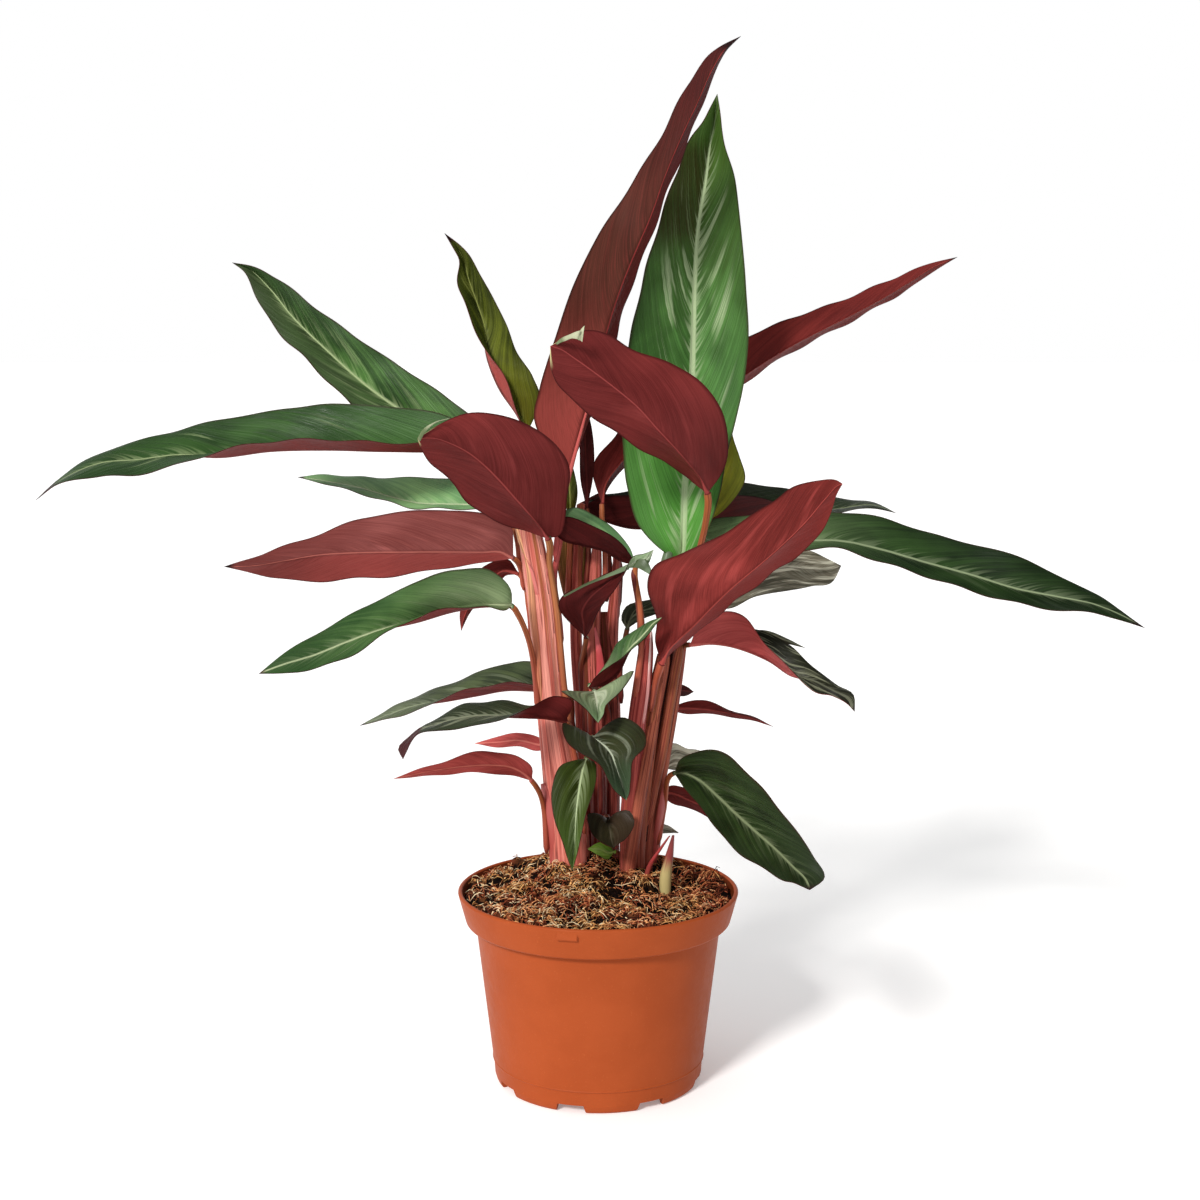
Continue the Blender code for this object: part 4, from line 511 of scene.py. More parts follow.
# Torn bits of sheath and leaf, and a pale strip of painted highlight: look, slot, bow and both edges (across,
# height, depth), mm
SHARDS = {
    "sheath_top_left": ("sheath_skin", "shoot_pink", 0.8,
        ((-34.0, 248, 15), (-36.0, 262, 9.0), (-38.6, 276, 6.0), (-40.2, 289, 4.5)),
        ((-29.0, 246, 15), (-30.5, 258, 8.5), (-32.0, 269, 4.5), (-34.5, 279, 3.0))),
    "sheath_tip_left": ("sheath_skin", "shoot_pink", 0.6,
        ((-27.0, 240, 15), (-28.4, 256, 8.5), (-28.4, 268, 6.0), (-27.0, 281, 5.0)),
        ((-23.5, 238, 17), (-25.0, 254, 12), (-26.0, 267, 9.0), (-26.4, 281, 6.0))),
    "sheath_strip_front": ("sheath_hot_skin", "shoot_pink", 0.5,
        ((19.0, 170, 11.0), (20.6, 198, 5.0), (22.8, 222, 0.8), (25.2, 243, -1.0)),
        ((21.8, 169, 12.0), (24.8, 197, 6.0), (27.4, 221, 2.0), (28.4, 243, 0.5))),
    "sheath_low_left": ("sheath_low_skin", "shoot_pink", 1.6,
        ((-25.6, 117, 24), (-28.0, 134, 23), (-30.2, 150, 22), (-31.0, 163, 21)),
        ((-14.5, 117, 21), (-19.0, 134, 18), (-23.4, 150, 18), (-28.6, 163.5, 19))),
    "spear_low_right": ("sheath_low_skin", "shoot_pink", 1.2,
        ((28.6, 120, 33), (31.4, 146, 27), (33.8, 158, 25), (36.7, 168.5, 23)),
        ((31.8, 119, 33), (35.4, 146, 29), (37.6, 158, 27), (37.1, 168.5, 23))),
    "sheath_mid_left": ("sheath_olive_skin", "shoot_red", 0.8,
        ((-14.5, 251, 34), (-17.5, 262, 31), (-20, 272, 28), (-22, 283, 26), (-22.5, 296, 25)),
        ((-9.0, 249, 34), (-8.0, 262, 31), (-7.0, 272, 28), (-6.5, 282, 26), (-6.0, 296, 25))),
    "sheath_mid_low": ("sheath_dark_skin", "shoot_red", 1.0,
        ((-8.5, 185, 33), (-8.4, 204, 32), (-8.2, 216, 31), (-7.8, 229, 29), (-6.2, 241, 27)),
        ((-1.5, 185, 33), (-0.3, 204, 32), (0.5, 216, 31), (0.0, 229, 29), (-3.5, 241, 27))),
    "sheath_mid_red": ("sheath_dark_skin", "shoot_red", 1.0,
        ((-0.3, 185, 35), (-0.3, 204, 34), (0.2, 216, 33), (0.5, 235, 32), (-0.3, 257, 31)),
        ((11.0, 185, 35), (10.7, 204, 34), (10.0, 216, 33), (9.0, 235, 32), (6.3, 257, 31))),
    "sheath_mid_pink": ("sheath_hot_skin", "shoot_pink", 0.5,
        ((-1.2, 220, 26), (-0.8, 230, 25), (-1.4, 238, 23.5), (-2.2, 248, 22.5)),
        ((3.6, 219, 26.5), (3.0, 230, 25), (1.4, 238.5, 23.5), (-1.4, 249, 22.5))),
    # A thin pale strip along the right edge of the front shaft: a painted highlight.
    "highlight_strip_front": ("sheath_highlight_skin", "shoot_pink", 0.3,
        ((23.4, 196, 5.5), (25.8, 214, 2.0), (27.0, 232, -0.5), (27.8, 246, -0.5)),
        ((24.8, 196, 6.5), (27.4, 214, 3.0), (28.2, 232, 0.5), (28.6, 246, 0.0))),
    "rim_front_red": ("green_rim_skin", "leaf_green", 0.3,
        ((-18.6, 265.6, -6), (-7.0, 271.8, -11), (3.5, 276.6, -16), (16.5, 282.6, -24)),
        ((-18.0, 264.8, -6.5), (-7.0, 270.3, -12), (3.5, 274.8, -17), (16.5, 279.4, -25))),
    "hook_front_red": ("green_rim_skin", "leaf_green", 0.5,
        ((18.0, 280.6, -26), (22.5, 279.6, -28), (26.0, 277.6, -29), (28.2, 275.8, -30)),
        ((22.0, 286.5, -26), (25.5, 284.5, -28), (27.8, 280.6, -29), (28.6, 276.0, -30))),
    "torn_tip_right": ("torn_skin", "leaf_green", 0.4,
        ((-22.4, 398.2, -77), (-18.5, 401.6, -76), (-14.0, 403.4, -75), (-9.0, 405.2, -75)),
        ((-21.4, 397.6, -78), (-17.5, 399.6, -77), (-14.0, 400.8, -76), (-10.5, 400.4, -76))),
    "torn_flap_right": ("torn_skin", "leaf_green", 0.4,
        ((-12.0, 402.8, -74), (-10.0, 404.6, -74), (-8.4, 406.2, -73), (-7.0, 407.8, -73)),
        ((-11.6, 400.6, -76), (-10.0, 400.2, -76), (-9.0, 399.6, -75), (-8.2, 399.2, -75))),
    "torn_tip_left": ("torn_skin", "leaf_green", 0.2,
        ((-95.0, 348.6, -86), (-92.2, 353.6, -83), (-86.0, 357.2, -79), (-78.0, 359.8, -73)),
        ((-93.6, 347.2, -86), (-90.8, 352.2, -83), (-85.8, 356.6, -79), (-78.0, 359.5, -73))),
}

# Stalks and sheaths that lie along a shoot, and a dark tube of painted shade: look, slot, radii and points
# (across, height, depth), mm
PETIOLES = {
    "stalk_crown_red": ("leaf_stalk_pink", "shoot_pink", (0.5, 0.9, 1.2, 1.4, 1.5),
        ((-4.6, 368, 0), (-11.6, 342.8, 2), (-18.0, 317.5, 6), (-21.3, 300, 9), (-23.0, 284, 11))),
    "stalk_left_edge": ("leaf_stalk_tan", "shoot_pink", (0.7, 1.6, 2.0, 2.0, 1.9, 1.7),
        ((-30.2, 203, 16), (-31.2, 218, 12.5), (-32.8, 238, 10), (-34.5, 254, 8), (-37.3, 284, 5.5),
        (-43.5, 303, 7))),
    "stalk_mid_folded": ("leaf_stalk_dark", "shoot_red", (1.5, 1.7, 1.8, 2.0, 2.2, 2.0),
        ((18.4, 279.4, -2), (19.8, 271.5, -2.5), (21.3, 263.5, -2.5), (22.5, 255, -2), (22.9, 247, -1),
        (23.2, 236, 1))),
    "sheath_right_low": ("shoot_brown", "shoot_red", (3.6, 3.7, 3.7, 3.7, 3.6, 3.5, 3.6, 3.6, 3.4),
        ((16.1, 104, 13), (16.6, 116, 12.5), (19.0, 132, 11), (21.4, 150, 10.5), (25.0, 172, 12.5),
        (28.4, 192, 15), (31.0, 208, 14.5), (33.9, 224, 12.5), (36.2, 238, 9))),
    # A near-black tube behind the right shafts that fills the slit between them with painted shade.
    "shade_fill_right_gap": ("shoot_shade", "shoot_red", (2.6, 2.8, 2.8, 2.7, 2.6, 2.5, 2.4),
        ((25.0, 126, 31), (27.0, 149, 30), (29.4, 168, 28), (32.0, 187, 25), (34.4, 205, 22.5),
        (36.6, 220, 20), (38.6, 236, 18))),
    "sheath_right_mid": ("shoot_brown", "shoot_red", (2.6, 3.0, 3.2, 2.9, 2.8, 2.9),
        ((26.0, 140, 27), (29.4, 158, 26), (33.2, 176, 23.5), (37.0, 198, 20), (40.8, 222, 16),
        (44.0, 240, 13))),
    "stalk_crown_green": ("green_rim_skin", "leaf_green", (2.0, 2.6, 3.2, 2.4),
        ((37.0, 262, 10), (36.5, 272, 11), (36.0, 282, 11), (37.5, 290, 12))),
}


# Curves and points

def unit(v):
    """Each row scaled to length 1."""
    v = np.asarray(v, dtype=float)
    return v / np.maximum(np.linalg.norm(v, axis=-1, keepdims=True), 1e-9)


def seen(across, height, depth):
    """A point that looks the same from the eye, moved back along the sight line by its depth."""
    flat = np.array((across, 0.0, height), dtype=float)
    return EYE + (flat - EYE) * (1.0 + depth / -EYE[1])


def curve(knots, values, at):
    """A smooth curve through every row, read at any place along the knots."""
    knots = np.asarray(knots, dtype=float)
    values = np.asarray(values, dtype=float)
    step = np.diff(knots)[:, None]
    slope = np.diff(values, axis=0) / step
    tangent = np.empty_like(values)
    tangent[0] = slope[0]
    tangent[-1] = slope[-1]
    tangent[1:-1] = (slope[:-1] * step[1:] + slope[1:] * step[:-1]) / (step[1:] + step[:-1])
    at = np.clip(np.asarray(at, dtype=float), knots[0], knots[-1])
    i = np.clip(np.searchsorted(knots, at, side="right") - 1, 0, len(knots) - 2)
    h = step[i]
    s = ((at - knots[i])[:, None]) / h
    return ((1 + 2 * s) * (1 - s) ** 2 * values[i] + s * (1 - s) ** 2 * h * tangent[i]
            + s ** 2 * (3 - 2 * s) * values[i + 1] + s ** 2 * (s - 1) * h * tangent[i + 1])


def travelled(points):
    """Distance along a polyline in mm."""
    steps = np.linalg.norm(np.diff(points, axis=0), axis=1)
    return np.concatenate(([0.0], np.cumsum(steps)))


def along(points):
    """Distance along a polyline, from 0 to 1."""
    total = travelled(points)
    return total / total[-1]


def core_at(name, height):
    """A shoot's centre and radius at a height given as seen on the middle plane."""
    core = np.array(SHOOTS[name]["core"], dtype=float)
    row = curve(core[:, 1], core, [height])[0]
    return seen(*row[:3]), row[3]


# Meshes

def band(a, b, count, inward=False):
    """Faces between the ring of points that starts at a and the ring that starts at b."""
    faces = []
    for k in range(count):
        j = (k + 1) % count
        faces.append((a + k, b + k, b + j, a + j) if inward else (a + k, a + j, b + j, b + k))
    return faces


def bands(rings, count, first=0, inward=False):
    """Faces of a run of rings, joined in order."""
    starts = range(first, first + (rings - 1) * count, count)
    return [face for start in starts for face in band(start, start + count, count, inward)]


def new_mesh(name, points, faces, looks):
    """A mesh of points in mm, with its materials."""
    mesh = bpy.data.meshes.new(name)
    mesh.from_pydata((np.asarray(points) * MM).tolist(), [], faces)
    for look in looks:
        mesh.materials.append(look)
    return mesh


def carry(mesh, seed, **layers):
    """Store a piece's own seed, and its points' places as named layers that its looks read."""
    corners_at = np.empty(len(mesh.loops), dtype=int)
    mesh.loops.foreach_get("vertex_index", corners_at)
    for label, values in layers.items():
        layer = mesh.uv_layers.new(name=label)
        layer.data.foreach_set("uv", np.asarray(values)[corners_at].astype(np.float32).ravel())
    seeds = mesh.attributes.new("seed", "FLOAT", "POINT")
    seeds.data.foreach_set("value", np.full(len(mesh.vertices), seed, dtype=np.float32))


def outward(mesh):
    """Turn a closed mesh's faces outward."""
    bm = bmesh.new()
    bm.from_mesh(mesh)
    if bm.calc_volume(signed=True) < 0:
        bmesh.ops.reverse_faces(bm, faces=bm.faces[:])
    bm.to_mesh(mesh)
    bm.free()


def placed(name, mesh):
    """An object for a mesh, in the scene."""
    thing = bpy.data.objects.new(name, mesh)
    bpy.context.scene.collection.objects.link(thing)
    return thing


# Leaves

def half_profile(t):
    """Half width along a blade, 0 at both ends and 1 at the widest place."""
    return (t / WIDEST_AT) ** BASE_CURVE * ((1 - t) / (1 - WIDEST_AT)) ** TIP_CURVE


def opened(middle, run, first, second, away):
    """Both edges, turned apart about the midrib where the blade would fold nearly shut."""
    va, vb = first - middle, second - middle
    along_a, along_b = run * np.dot(run, va), run * np.dot(run, vb)
    va, vb = va - along_a, vb - along_b
    ua, ub = unit(va), unit(vb)
    between = unit(ua + ub)
    apart = ua - ub
    if np.linalg.norm(apart) < 0.2:
        apart = np.array((0.0, float(away), 0.0))
        apart -= run * np.dot(run, apart)
    apart = unit(apart - between * np.dot(apart, between))
    least = math.radians(LEAST_FOLD / 2)
    if math.acos(min(1.0, float(np.dot(ua, between)))) >= least:
        return first, second
    reach_a, reach_b = np.linalg.norm(va), np.linalg.norm(vb)
    turned_a = math.cos(least) * between + math.sin(least) * apart
    turned_b = math.cos(least) * between - math.sin(least) * apart
    return middle + turned_a * reach_a + along_a, middle + turned_b * reach_b + along_b


def blade_frame(leaf):
    """Midrib and both edges of a blade as 3-D rows, with their places along the midrib."""
    rows = leaf["rows"]
    middle = np.array([rows[0], *(row[2:5] for row in rows[1:-1]), rows[-1]], dtype=float)
    rib = np.array([seen(*point) for point in middle])
    flat = middle[:, :2]
    run = unit(np.gradient(flat, axis=0))
    place = along(rib)
    sides = []
    for half, fold, edge in zip(leaf["half"], leaf["fold"], (slice(0, 2), slice(5, 7))):
        ends = flat.copy()
        ends[1:-1] = [row[edge] for row in rows[1:-1]]
        off = ends - flat
        shown = np.abs(off[:, 0] * run[:, 1] - off[:, 1] * run[:, 0])
        real = half * half_profile(place)
        lean = np.sqrt(np.maximum(real ** 2 - shown ** 2, 0.0))
        lean[1:-1] = 0.25 * lean[:-2] + 0.5 * lean[1:-1] + 0.25 * lean[2:]
        sides.append(np.array([seen(*end, depth) for end, depth in zip(ends, middle[:, 2] + fold * lean)]))
    first, second = sides
    ahead = unit(np.gradient(rib, axis=0))
    for i in range(1, len(rib) - 1):
        first[i], second[i] = opened(rib[i], ahead[i], first[i], second[i], leaf["fold"][0])
    return place, rib, first, second


def blade_grid(leaf, at, across, seed):
    """A blade's middle surface, the way its upper side faces, and mm across and along it."""
    place, *lines = blade_frame(leaf)
    m, a, b = (curve(place, line, at) for line in lines)
    run = unit(np.gradient(m, axis=0))
    up_a = unit(np.cross(a - m, run))
    up_b = unit(np.cross(run, b - m))
    wide_a, wide_b = (np.linalg.norm(edge - m, axis=1) for edge in (a, b))
    sign = 1.0 if (up_a[:, 1] * wide_a + up_b[:, 1] * wide_b).sum() < 0 else -1.0
    if leaf.get("seen") == "under":
        sign = -sign
    length = travelled(m)
    grid = np.empty((len(at), len(across), 3))
    face = np.empty_like(grid)
    size = np.empty((len(at), len(across), 2))
    ends = np.minimum(1.0, 6 * np.minimum(at, 1 - at))
    for j, u in enumerate(across):
        edge, up, width = (a, up_a, wide_a) if u < 0 else (b, up_b, wide_b)
        reach = abs(u)
        arch = ARCH * width * reach * (1 - reach)
        across_mm = width * reach
        vein = (length - (VEIN_SLANT + VEIN_CURVE * reach) * across_mm) / VEIN_STEP + seed * 3.1
        swell = VEIN_SWELL * np.sin(FULL_TURN * vein) * 4 * reach * (1 - reach)
        wave = np.sin(FULL_TURN * (length / EDGE_WAVE_STEP + 0.37 * seed + (0.4 if u < 0 else 0)))
        frill = EDGE_WAVE * wave * reach ** 3 * np.minimum(1.0, width / 12)
        grid[:, j] = m + (edge - m) * reach + (sign * arch + (swell + frill) * ends)[:, None] * up
        blend = min(1.0, reach * 3)
        face[:, j] = sign * unit(blend * up + (1 - blend) * (up_a + up_b) / 2)
        size[:, j, 0] = across_mm * (-1 if u < 0 else 1)
        size[:, j, 1] = length
    return grid, face, size


def stalk_path(leaf):
    """Points up a leaf's stalk: along its shoot, then out to the blade."""
    name, angle, low, high = leaf["foot"]
    way = np.array((math.sin(math.radians(angle)), -math.cos(math.radians(angle)), 0.0))
    points = []
    for height in np.linspace(low, high, max(2, int((high - low) / STALK_KNOT_STEP) + 2)):
        centre, radius = core_at(name, height)
        points.append(centre + way * (radius * (1 + RIDGE) + STALK_FOOT_RADIUS + GAP))
    return np.array(points + [seen(*p) for p in leaf.get("stalk", ())])


def stalk_rings(leaf, rib, start, face, n):
    """Rings of 2n points up a leaf's stalk, each with the places and sizes that it carries."""
    top_radius = leaf.get("stout", STALK_TOP_RADIUS)
    path = np.vstack((stalk_path(leaf), rib[:2]))
    steps = along(path)
    length = travelled(path[:-1])[-1]
    turns = max(8, int(length / STALK_STEP))
    spine = curve(steps, path, np.linspace(0.0, steps[-2], turns + 1))
    run = unit(np.gradient(spine, axis=0))
    run[-1] = unit(run[-1] + unit(rib[1] - rib[0]))
    side = unit(start)
    step = math.pi / n
    angles = math.pi - step / 2 - np.arange(2 * n) * step
    rings = []
    for i in range(turns, -1, -1):
        side = unit(side - run[i] * np.dot(side, run[i]))
        up = np.cross(run[i], side)
        if i == turns:
            flip = -1.0 if np.dot(up, face) < 0 else 1.0
        share = i / turns
        knuckle = 1.0 + KNUCKLE * math.exp(-((1 - share) * length / KNUCKLE_LENGTH - 0.5) ** 2)
        radius = (STALK_FOOT_RADIUS * (1 - share) + top_radius * share) * knuckle
        if i == 0:
            radius = STALK_END_RADIUS
        circle = np.outer(np.cos(angles), side) + np.outer(np.sin(angles), flip * up)
        rings.insert(0, (spine[i] + radius * circle,
                         np.column_stack((np.arange(2 * n) / (2 * n), np.full(2 * n, share))),
                         np.column_stack((radius * angles, np.full(2 * n, share * length)))))
    return rings, spine[0]


def blade_rings(leaf, rib, at, across, parts):
    """Rings round a blade from its base to its tip, each with the places and sizes that it carries."""
    top_radius = leaf.get("stout", STALK_TOP_RADIUS)
    long = travelled(rib)[-1]
    rim = 1 - RIM_ROUNDING * np.abs(across)[:, None] ** 6
    rings = []
    for t, grid, face, size in zip(at, *parts):
        reach = np.linalg.norm(grid[[0, -1]] - grid[len(across) // 2], axis=-1).min()
        thick = BLADE * min(1.0, 0.3 + reach / 5)
        near_rib = np.exp(-(size[:, 0] / (0.5 + 0.6 * (1 - t))) ** 2)[:, None]
        strength = (1 - t) * min(1.0, reach / 6)
        bulge = RIB_BULGE * strength + top_radius * 0.9 * math.exp(-t * long / STEM_RUN)
        upper = grid + face * thick / 2 * rim - face * RIB_GROOVE * strength * near_rib
        lower = grid - face * thick / 2 * rim - face * bulge * near_rib
        flat = np.column_stack((across * 0.5 + 0.5, np.full(len(across), t)))
        pairs = ((upper, lower), (flat, flat), (size, size))
        rings.append([np.vstack((above, below[::-1])) for above, below in pairs])
    return rings


def leaf_piece(name, leaf, looks, seed):
    """A leaf with its stalk as one closed mesh: upper side, underside and stalk in own materials."""
    rib = blade_frame(leaf)[1]
    n = 2 * max(4, min(13, int(max(leaf["half"]) / MESH_STEP) + 2)) + 1
    evenly = np.linspace(-1, 1, n)
    across = np.sin(evenly * math.pi / 2) * 0.35 + evenly * 0.65
    count = max(16, int(travelled(rib)[-1] / MESH_STEP))
    inner = np.linspace(0.0, 1.0, count + 1)[1:-1]
    at = np.concatenate(([0.35 / count], inner, [1 - 0.5 / count, 1 - 0.15 / count]))
    parts = grid, face, size = blade_grid(leaf, at, across, seed)
    stalk, foot = stalk_rings(leaf, rib, grid[0, -1] - grid[0, 0], face[0, n // 2], n)
    rings, places, sizes = zip(*stalk, *blade_rings(leaf, rib, at, across, parts))

    ring = 2 * n
    points = np.vstack((*rings, rib[-1:], foot[None]))
    place = np.vstack((*places, [[0.5, 1.0]], [[0.5, 0.0]]))
    size = np.vstack((*sizes, [[0.0, sizes[-1].mean(axis=0)[1]]], [[0.0, 0.0]]))
    faces = bands(len(rings), ring)
    sides = [0] * (n - 1) + [1] * (n + 1)
    materials = [2] * ring * (len(stalk) - 1) + sides * (len(rings) - len(stalk))
    base, tip = (len(rings) - 1) * ring, len(points) - 2
    for k in range(ring):
        j = (k + 1) % ring
        faces += [(base + k, base + j, tip), (tip + 1, j, k)]
        materials += [sides[k], 2]
    mesh = new_mesh(name, points, faces, looks)
    mesh.polygons.foreach_set("material_index", materials)
    carry(mesh, seed, place=place, size=size / SIZE_UNIT)
    outward(mesh)
    mesh.shade_smooth()
    mark_rims(mesh, n, len(stalk), len(rings))
    return placed(name + "_fine", mesh)


def mark_rims(mesh, n, first_ring, count):
    """The two long edges of a blade's rim are shaded sharp, so each side keeps its own shine."""
    rim = set()
    for r in range(first_ring, count - 1):
        for k in (0, n - 1, n, 2 * n - 1):
            rim.add((2 * n * r + k, 2 * n * (r + 1) + k))
    sharp = [tuple(sorted(e.vertices)) in rim for e in mesh.edges]
    flags = mesh.attributes.get("sharp_edge") or mesh.attributes.new("sharp_edge", "BOOLEAN", "EDGE")
    flags.data.foreach_set("value", sharp)


# Shoots

def shoot_piece(name, shoot, look, seed):
    """A shoot as one closed mesh, with sheaths that wrap round it and end in a raised seam."""
    core = np.array(shoot["core"], dtype=float)
    ridges = shoot["ridges"]
    heights = np.append(np.arange(core[0, 1], core[-1, 1], SHOOT_STEP), core[-1, 1])
    rows = curve(core[:, 1], core, heights)
    centres = [seen(*row[:3]) for row in rows]
    base, radius = centres[0], core[0, 3]
    sides = WIDE_SIDES if radius > WIDE_SHOOT else SHOOT_SIDES
    stump = base - (0, 0, min(STUMP_DEPTH, radius * 3 + 12))
    sections = [(stump, radius), *zip(centres, rows[:, 3])]
    angles = np.arange(sides) * FULL_TURN / sides
    low, high = stump[2], centres[-1][2]
    unit_up = high - low if shoot.get("young") else SIZE_UNIT
    rings, place, seams = [], [], []
    for centre, size in sections:
        share = (centre[2] - low) / (high - low)
        free = min(1.0, max(0.0, (centre[2] - STRAIGHT_TO) / RIDGE_EASE))
        ridge = RIDGE * np.cos(ridges * (angles + 0.5 * share) + seed)
        ridge += FINE_RIDGE * np.cos((2 * ridges + 1) * (angles - 0.5 * share) + 2 * seed)
        seam = ((angles - SEAM_START + 0.6 * seed + SEAM_TWIST * share) / math.pi) % 1.0
        step = SHEATH_STEP * (1.0 - seam) / max(size, 3.0)
        reach = size * (CORE_SHARE + (ridge + step) * free)
        circle = np.column_stack((np.cos(angles), np.sin(angles), np.zeros(sides)))
        rings.append(centre + circle * reach[:, None])
        place.append(np.column_stack((angles / FULL_TURN, np.full(sides, (centre[2] - low) / unit_up))))
        seams.append(np.column_stack((seam, np.full(sides, share))))
    top = centres[-1] + np.array((0, 0, rows[-1, 3] * 0.6))
    faces = bands(len(rings), sides)
    faces.append(tuple(range(sides))[::-1])
    rim, peak = (len(rings) - 1) * sides, len(rings) * sides
    faces += [(rim + k, rim + (k + 1) % sides, peak) for k in range(sides)]
    mesh = new_mesh(name, np.vstack((*rings, top[None])), faces, [look])
    carry(mesh, seed, place=np.vstack((*place, [[0.5, place[-1][0, 1]]])),
          seam=np.vstack((*seams, [[0.5, 1.0]])))
    mesh.shade_smooth()
    return placed(name + "_fine", mesh)


def loose_piece(name, look, seed, rings, place, climb, **layers):
    """A closed mesh through rings of points, with a seam layer as the shoots have."""
    count = len(rings[0])
    last = (len(rings) - 1) * count
    faces = bands(len(rings), count)
    faces += [tuple(range(count))[::-1], tuple(range(last, last + count))]
    mesh = new_mesh(name, np.vstack(rings), faces, [look])
    place = np.vstack(place)
    seam = np.column_stack((np.full(len(place), 0.5), 0.3 + climb * place[:, 1]))
    carry(mesh, seed, place=place, **layers, seam=seam)
    outward(mesh)
    mesh.shade_smooth()
    return placed(name, mesh)


def shard(name, look, bow, first, second, seed):
    """A thin torn piece of sheath or leaf between two edges, bowed towards the viewer."""
    at = np.linspace(0.0, 1.0, SHARD_ROWS)
    shares = np.linspace(0.0, 1.0, SHARD_COLUMNS)
    edges = (np.array(edge, dtype=float) for edge in (first, second))
    a, b = (curve(along(edge), edge, at) for edge in edges)
    rings, place = [], []
    for i, t in enumerate(at):
        front, back = [], []
        sway = 0.15 * math.sin(9 * t + seed)
        for u in shares:
            x, height, depth = a[i] * (1 - u) + b[i] * u
            near = 4 * u * (1 - u) * math.sin(math.pi * min(1.0, 0.15 + 0.7 * t))
            front.append(seen(x, height + sway, depth - bow * near))
            back.append(seen(x, height + sway, depth - bow * near + SHARD_EDGE + SHARD_BODY * near))
        rings.append(np.array(front + back[::-1]))
        flat = [(u, t) for u in shares]
        place.append(np.array(flat + flat[::-1]))
    return loose_piece(name, look, seed, rings, place, 0.4)


def petiole(name, look, radii, path, seed):
    """A stalk or sheath that lies along a shoot: a closed tube through the points of a path."""
    knots = np.array([seen(*p) for p in path])
    count, sides = 5 * len(path), STALK_SIDES
    at = np.linspace(0.0, 1.0, count)
    spine = curve(along(knots), knots, at)
    size = np.interp(at, np.linspace(0, 1, len(radii)), radii)
    run = unit(np.gradient(spine, axis=0))
    side = unit(np.cross(run, (0.0, 1.0, 0.0)))
    up = np.cross(side, run)
    angles = np.arange(sides) * FULL_TURN / sides
    ends = np.minimum(1.0, 12 * np.minimum(at, 1 - at) + 0.35)
    long = travelled(spine)[-1]
    rings, place, sizes = [], [], []
    for i in range(count):
        circle = np.outer(np.cos(angles), side[i]) + np.outer(np.sin(angles), up[i])
        rings.append(spine[i] + size[i] * ends[i] * circle)
        place.append(np.column_stack((angles / FULL_TURN, np.full(sides, at[i]))))
        sizes.append(np.column_stack((np.zeros(sides), np.full(sides, at[i] * long / SIZE_UNIT))))
    return loose_piece(name, look, seed, rings, place, 0.5, size=np.vstack(sizes))


# Material helpers

class Nodes:
    """Short calls that add nodes to one tree."""

    def __init__(self, tree):
        self.tree = tree

    def plug(self, socket, value):
        """Link a socket, or set its number or colour."""
        if isinstance(value, bpy.types.NodeSocket):
            self.tree.links.new(value, socket)
        elif isinstance(value, tuple) and len(value) == 3 and socket.type == "RGBA":
            socket.default_value = (*value, 1.0)
        else:
            socket.default_value = value

    def add(self, kind, **sockets):
        """A node with some of its inputs set by name."""
        made = self.tree.nodes.new(kind)
        for label, value in sockets.items():
            self.plug(made.inputs[label.replace("_", " ")], value)
        return made

    def math(self, operation, *values, clamp=False):
        """One step of arithmetic."""
        made = self.tree.nodes.new("ShaderNodeMath")
        made.operation = operation
        made.use_clamp = clamp
        for i, value in enumerate(values):
            self.plug(made.inputs[i], value)
        return made.outputs[0]

    def times(self, *values):
        """The product of two or more values."""
        return reduce(lambda a, b: self.math("MULTIPLY", a, b), values)

    def most(self, *values):
        """The largest of two or more values."""
        return reduce(lambda a, b: self.math("MAXIMUM", a, b), values)

    def over(self, a, b):
        """One value divided by another."""
        return self.math("DIVIDE", a, b)

    def turn(self, share):
        """Cosine and sine of an angle that is a share of a full turn."""
        angle = self.times(share, FULL_TURN)
        return self.math("COSINE", angle), self.math("SINE", angle)

    def vector(self, *values):
        """Three values as one place."""
        return self.add("ShaderNodeCombineXYZ", **dict(zip("XYZ", values))).outputs[0]

    def split(self, place):
        """The first two values of a place."""
        return self.add("ShaderNodeSeparateXYZ", Vector=place).outputs[:2]

    def where(self, kind):
        """The place of each point, of one kind of texture coordinate."""
        return self.tree.nodes.new("ShaderNodeTexCoord").outputs[kind]

    def uv(self, label):
        """Both values of a layer that the mesh carries."""
        made = self.tree.nodes.new("ShaderNodeUVMap")
        made.uv_map = label
        return self.split(made.outputs[0])

    def attribute(self, label):
        """A number that the mesh's points carry."""
        made = self.tree.nodes.new("ShaderNodeAttribute")
        made.attribute_name = label
        return made.outputs["Fac"]

    def noise(self, vector, scale, detail, roughness, distortion=0.0):
        """Soft noise about 0.5."""
        made = self.add("ShaderNodeTexNoise", Vector=vector, Scale=scale, Detail=detail,
                        Roughness=roughness, Distortion=distortion)
        return made.outputs["Fac"]

    def span(self, value, low, high, start=0.0, end=1.0, smooth=True):
        """The value carried from low..high to start..end, eased and held at both ends."""
        made = self.add("ShaderNodeMapRange", Value=value, From_Min=low, From_Max=high, To_Min=start,
                        To_Max=end)
        made.interpolation_type = "SMOOTHSTEP" if smooth else "LINEAR"
        return made.outputs["Result"]

    def crossing(self, value, width, strength):
        """A thin line where noise crosses its middle value."""
        off = self.math("ABSOLUTE", self.math("SUBTRACT", value, 0.5))
        return self.span(off, 0.0, width, strength, 0.0)

    def mix(self, share, a, b):
        """A share of one colour over another."""
        made = self.tree.nodes.new("ShaderNodeMix")
        made.data_type = "RGBA"
        made.clamp_factor = True
        for i, value in ((0, share), (6, a), (7, b)):
            self.plug(made.inputs[i], value)
        return made.outputs[2]

    def tints(self, colour, *layers):
        """The colour under layers: the other colour, what it follows, from and to where, and its share."""
        for other, value, low, high, share in layers:
            if other is not None:
                colour = self.mix(self.span(value, low, high, 0.0, share), colour, other)
        return colour


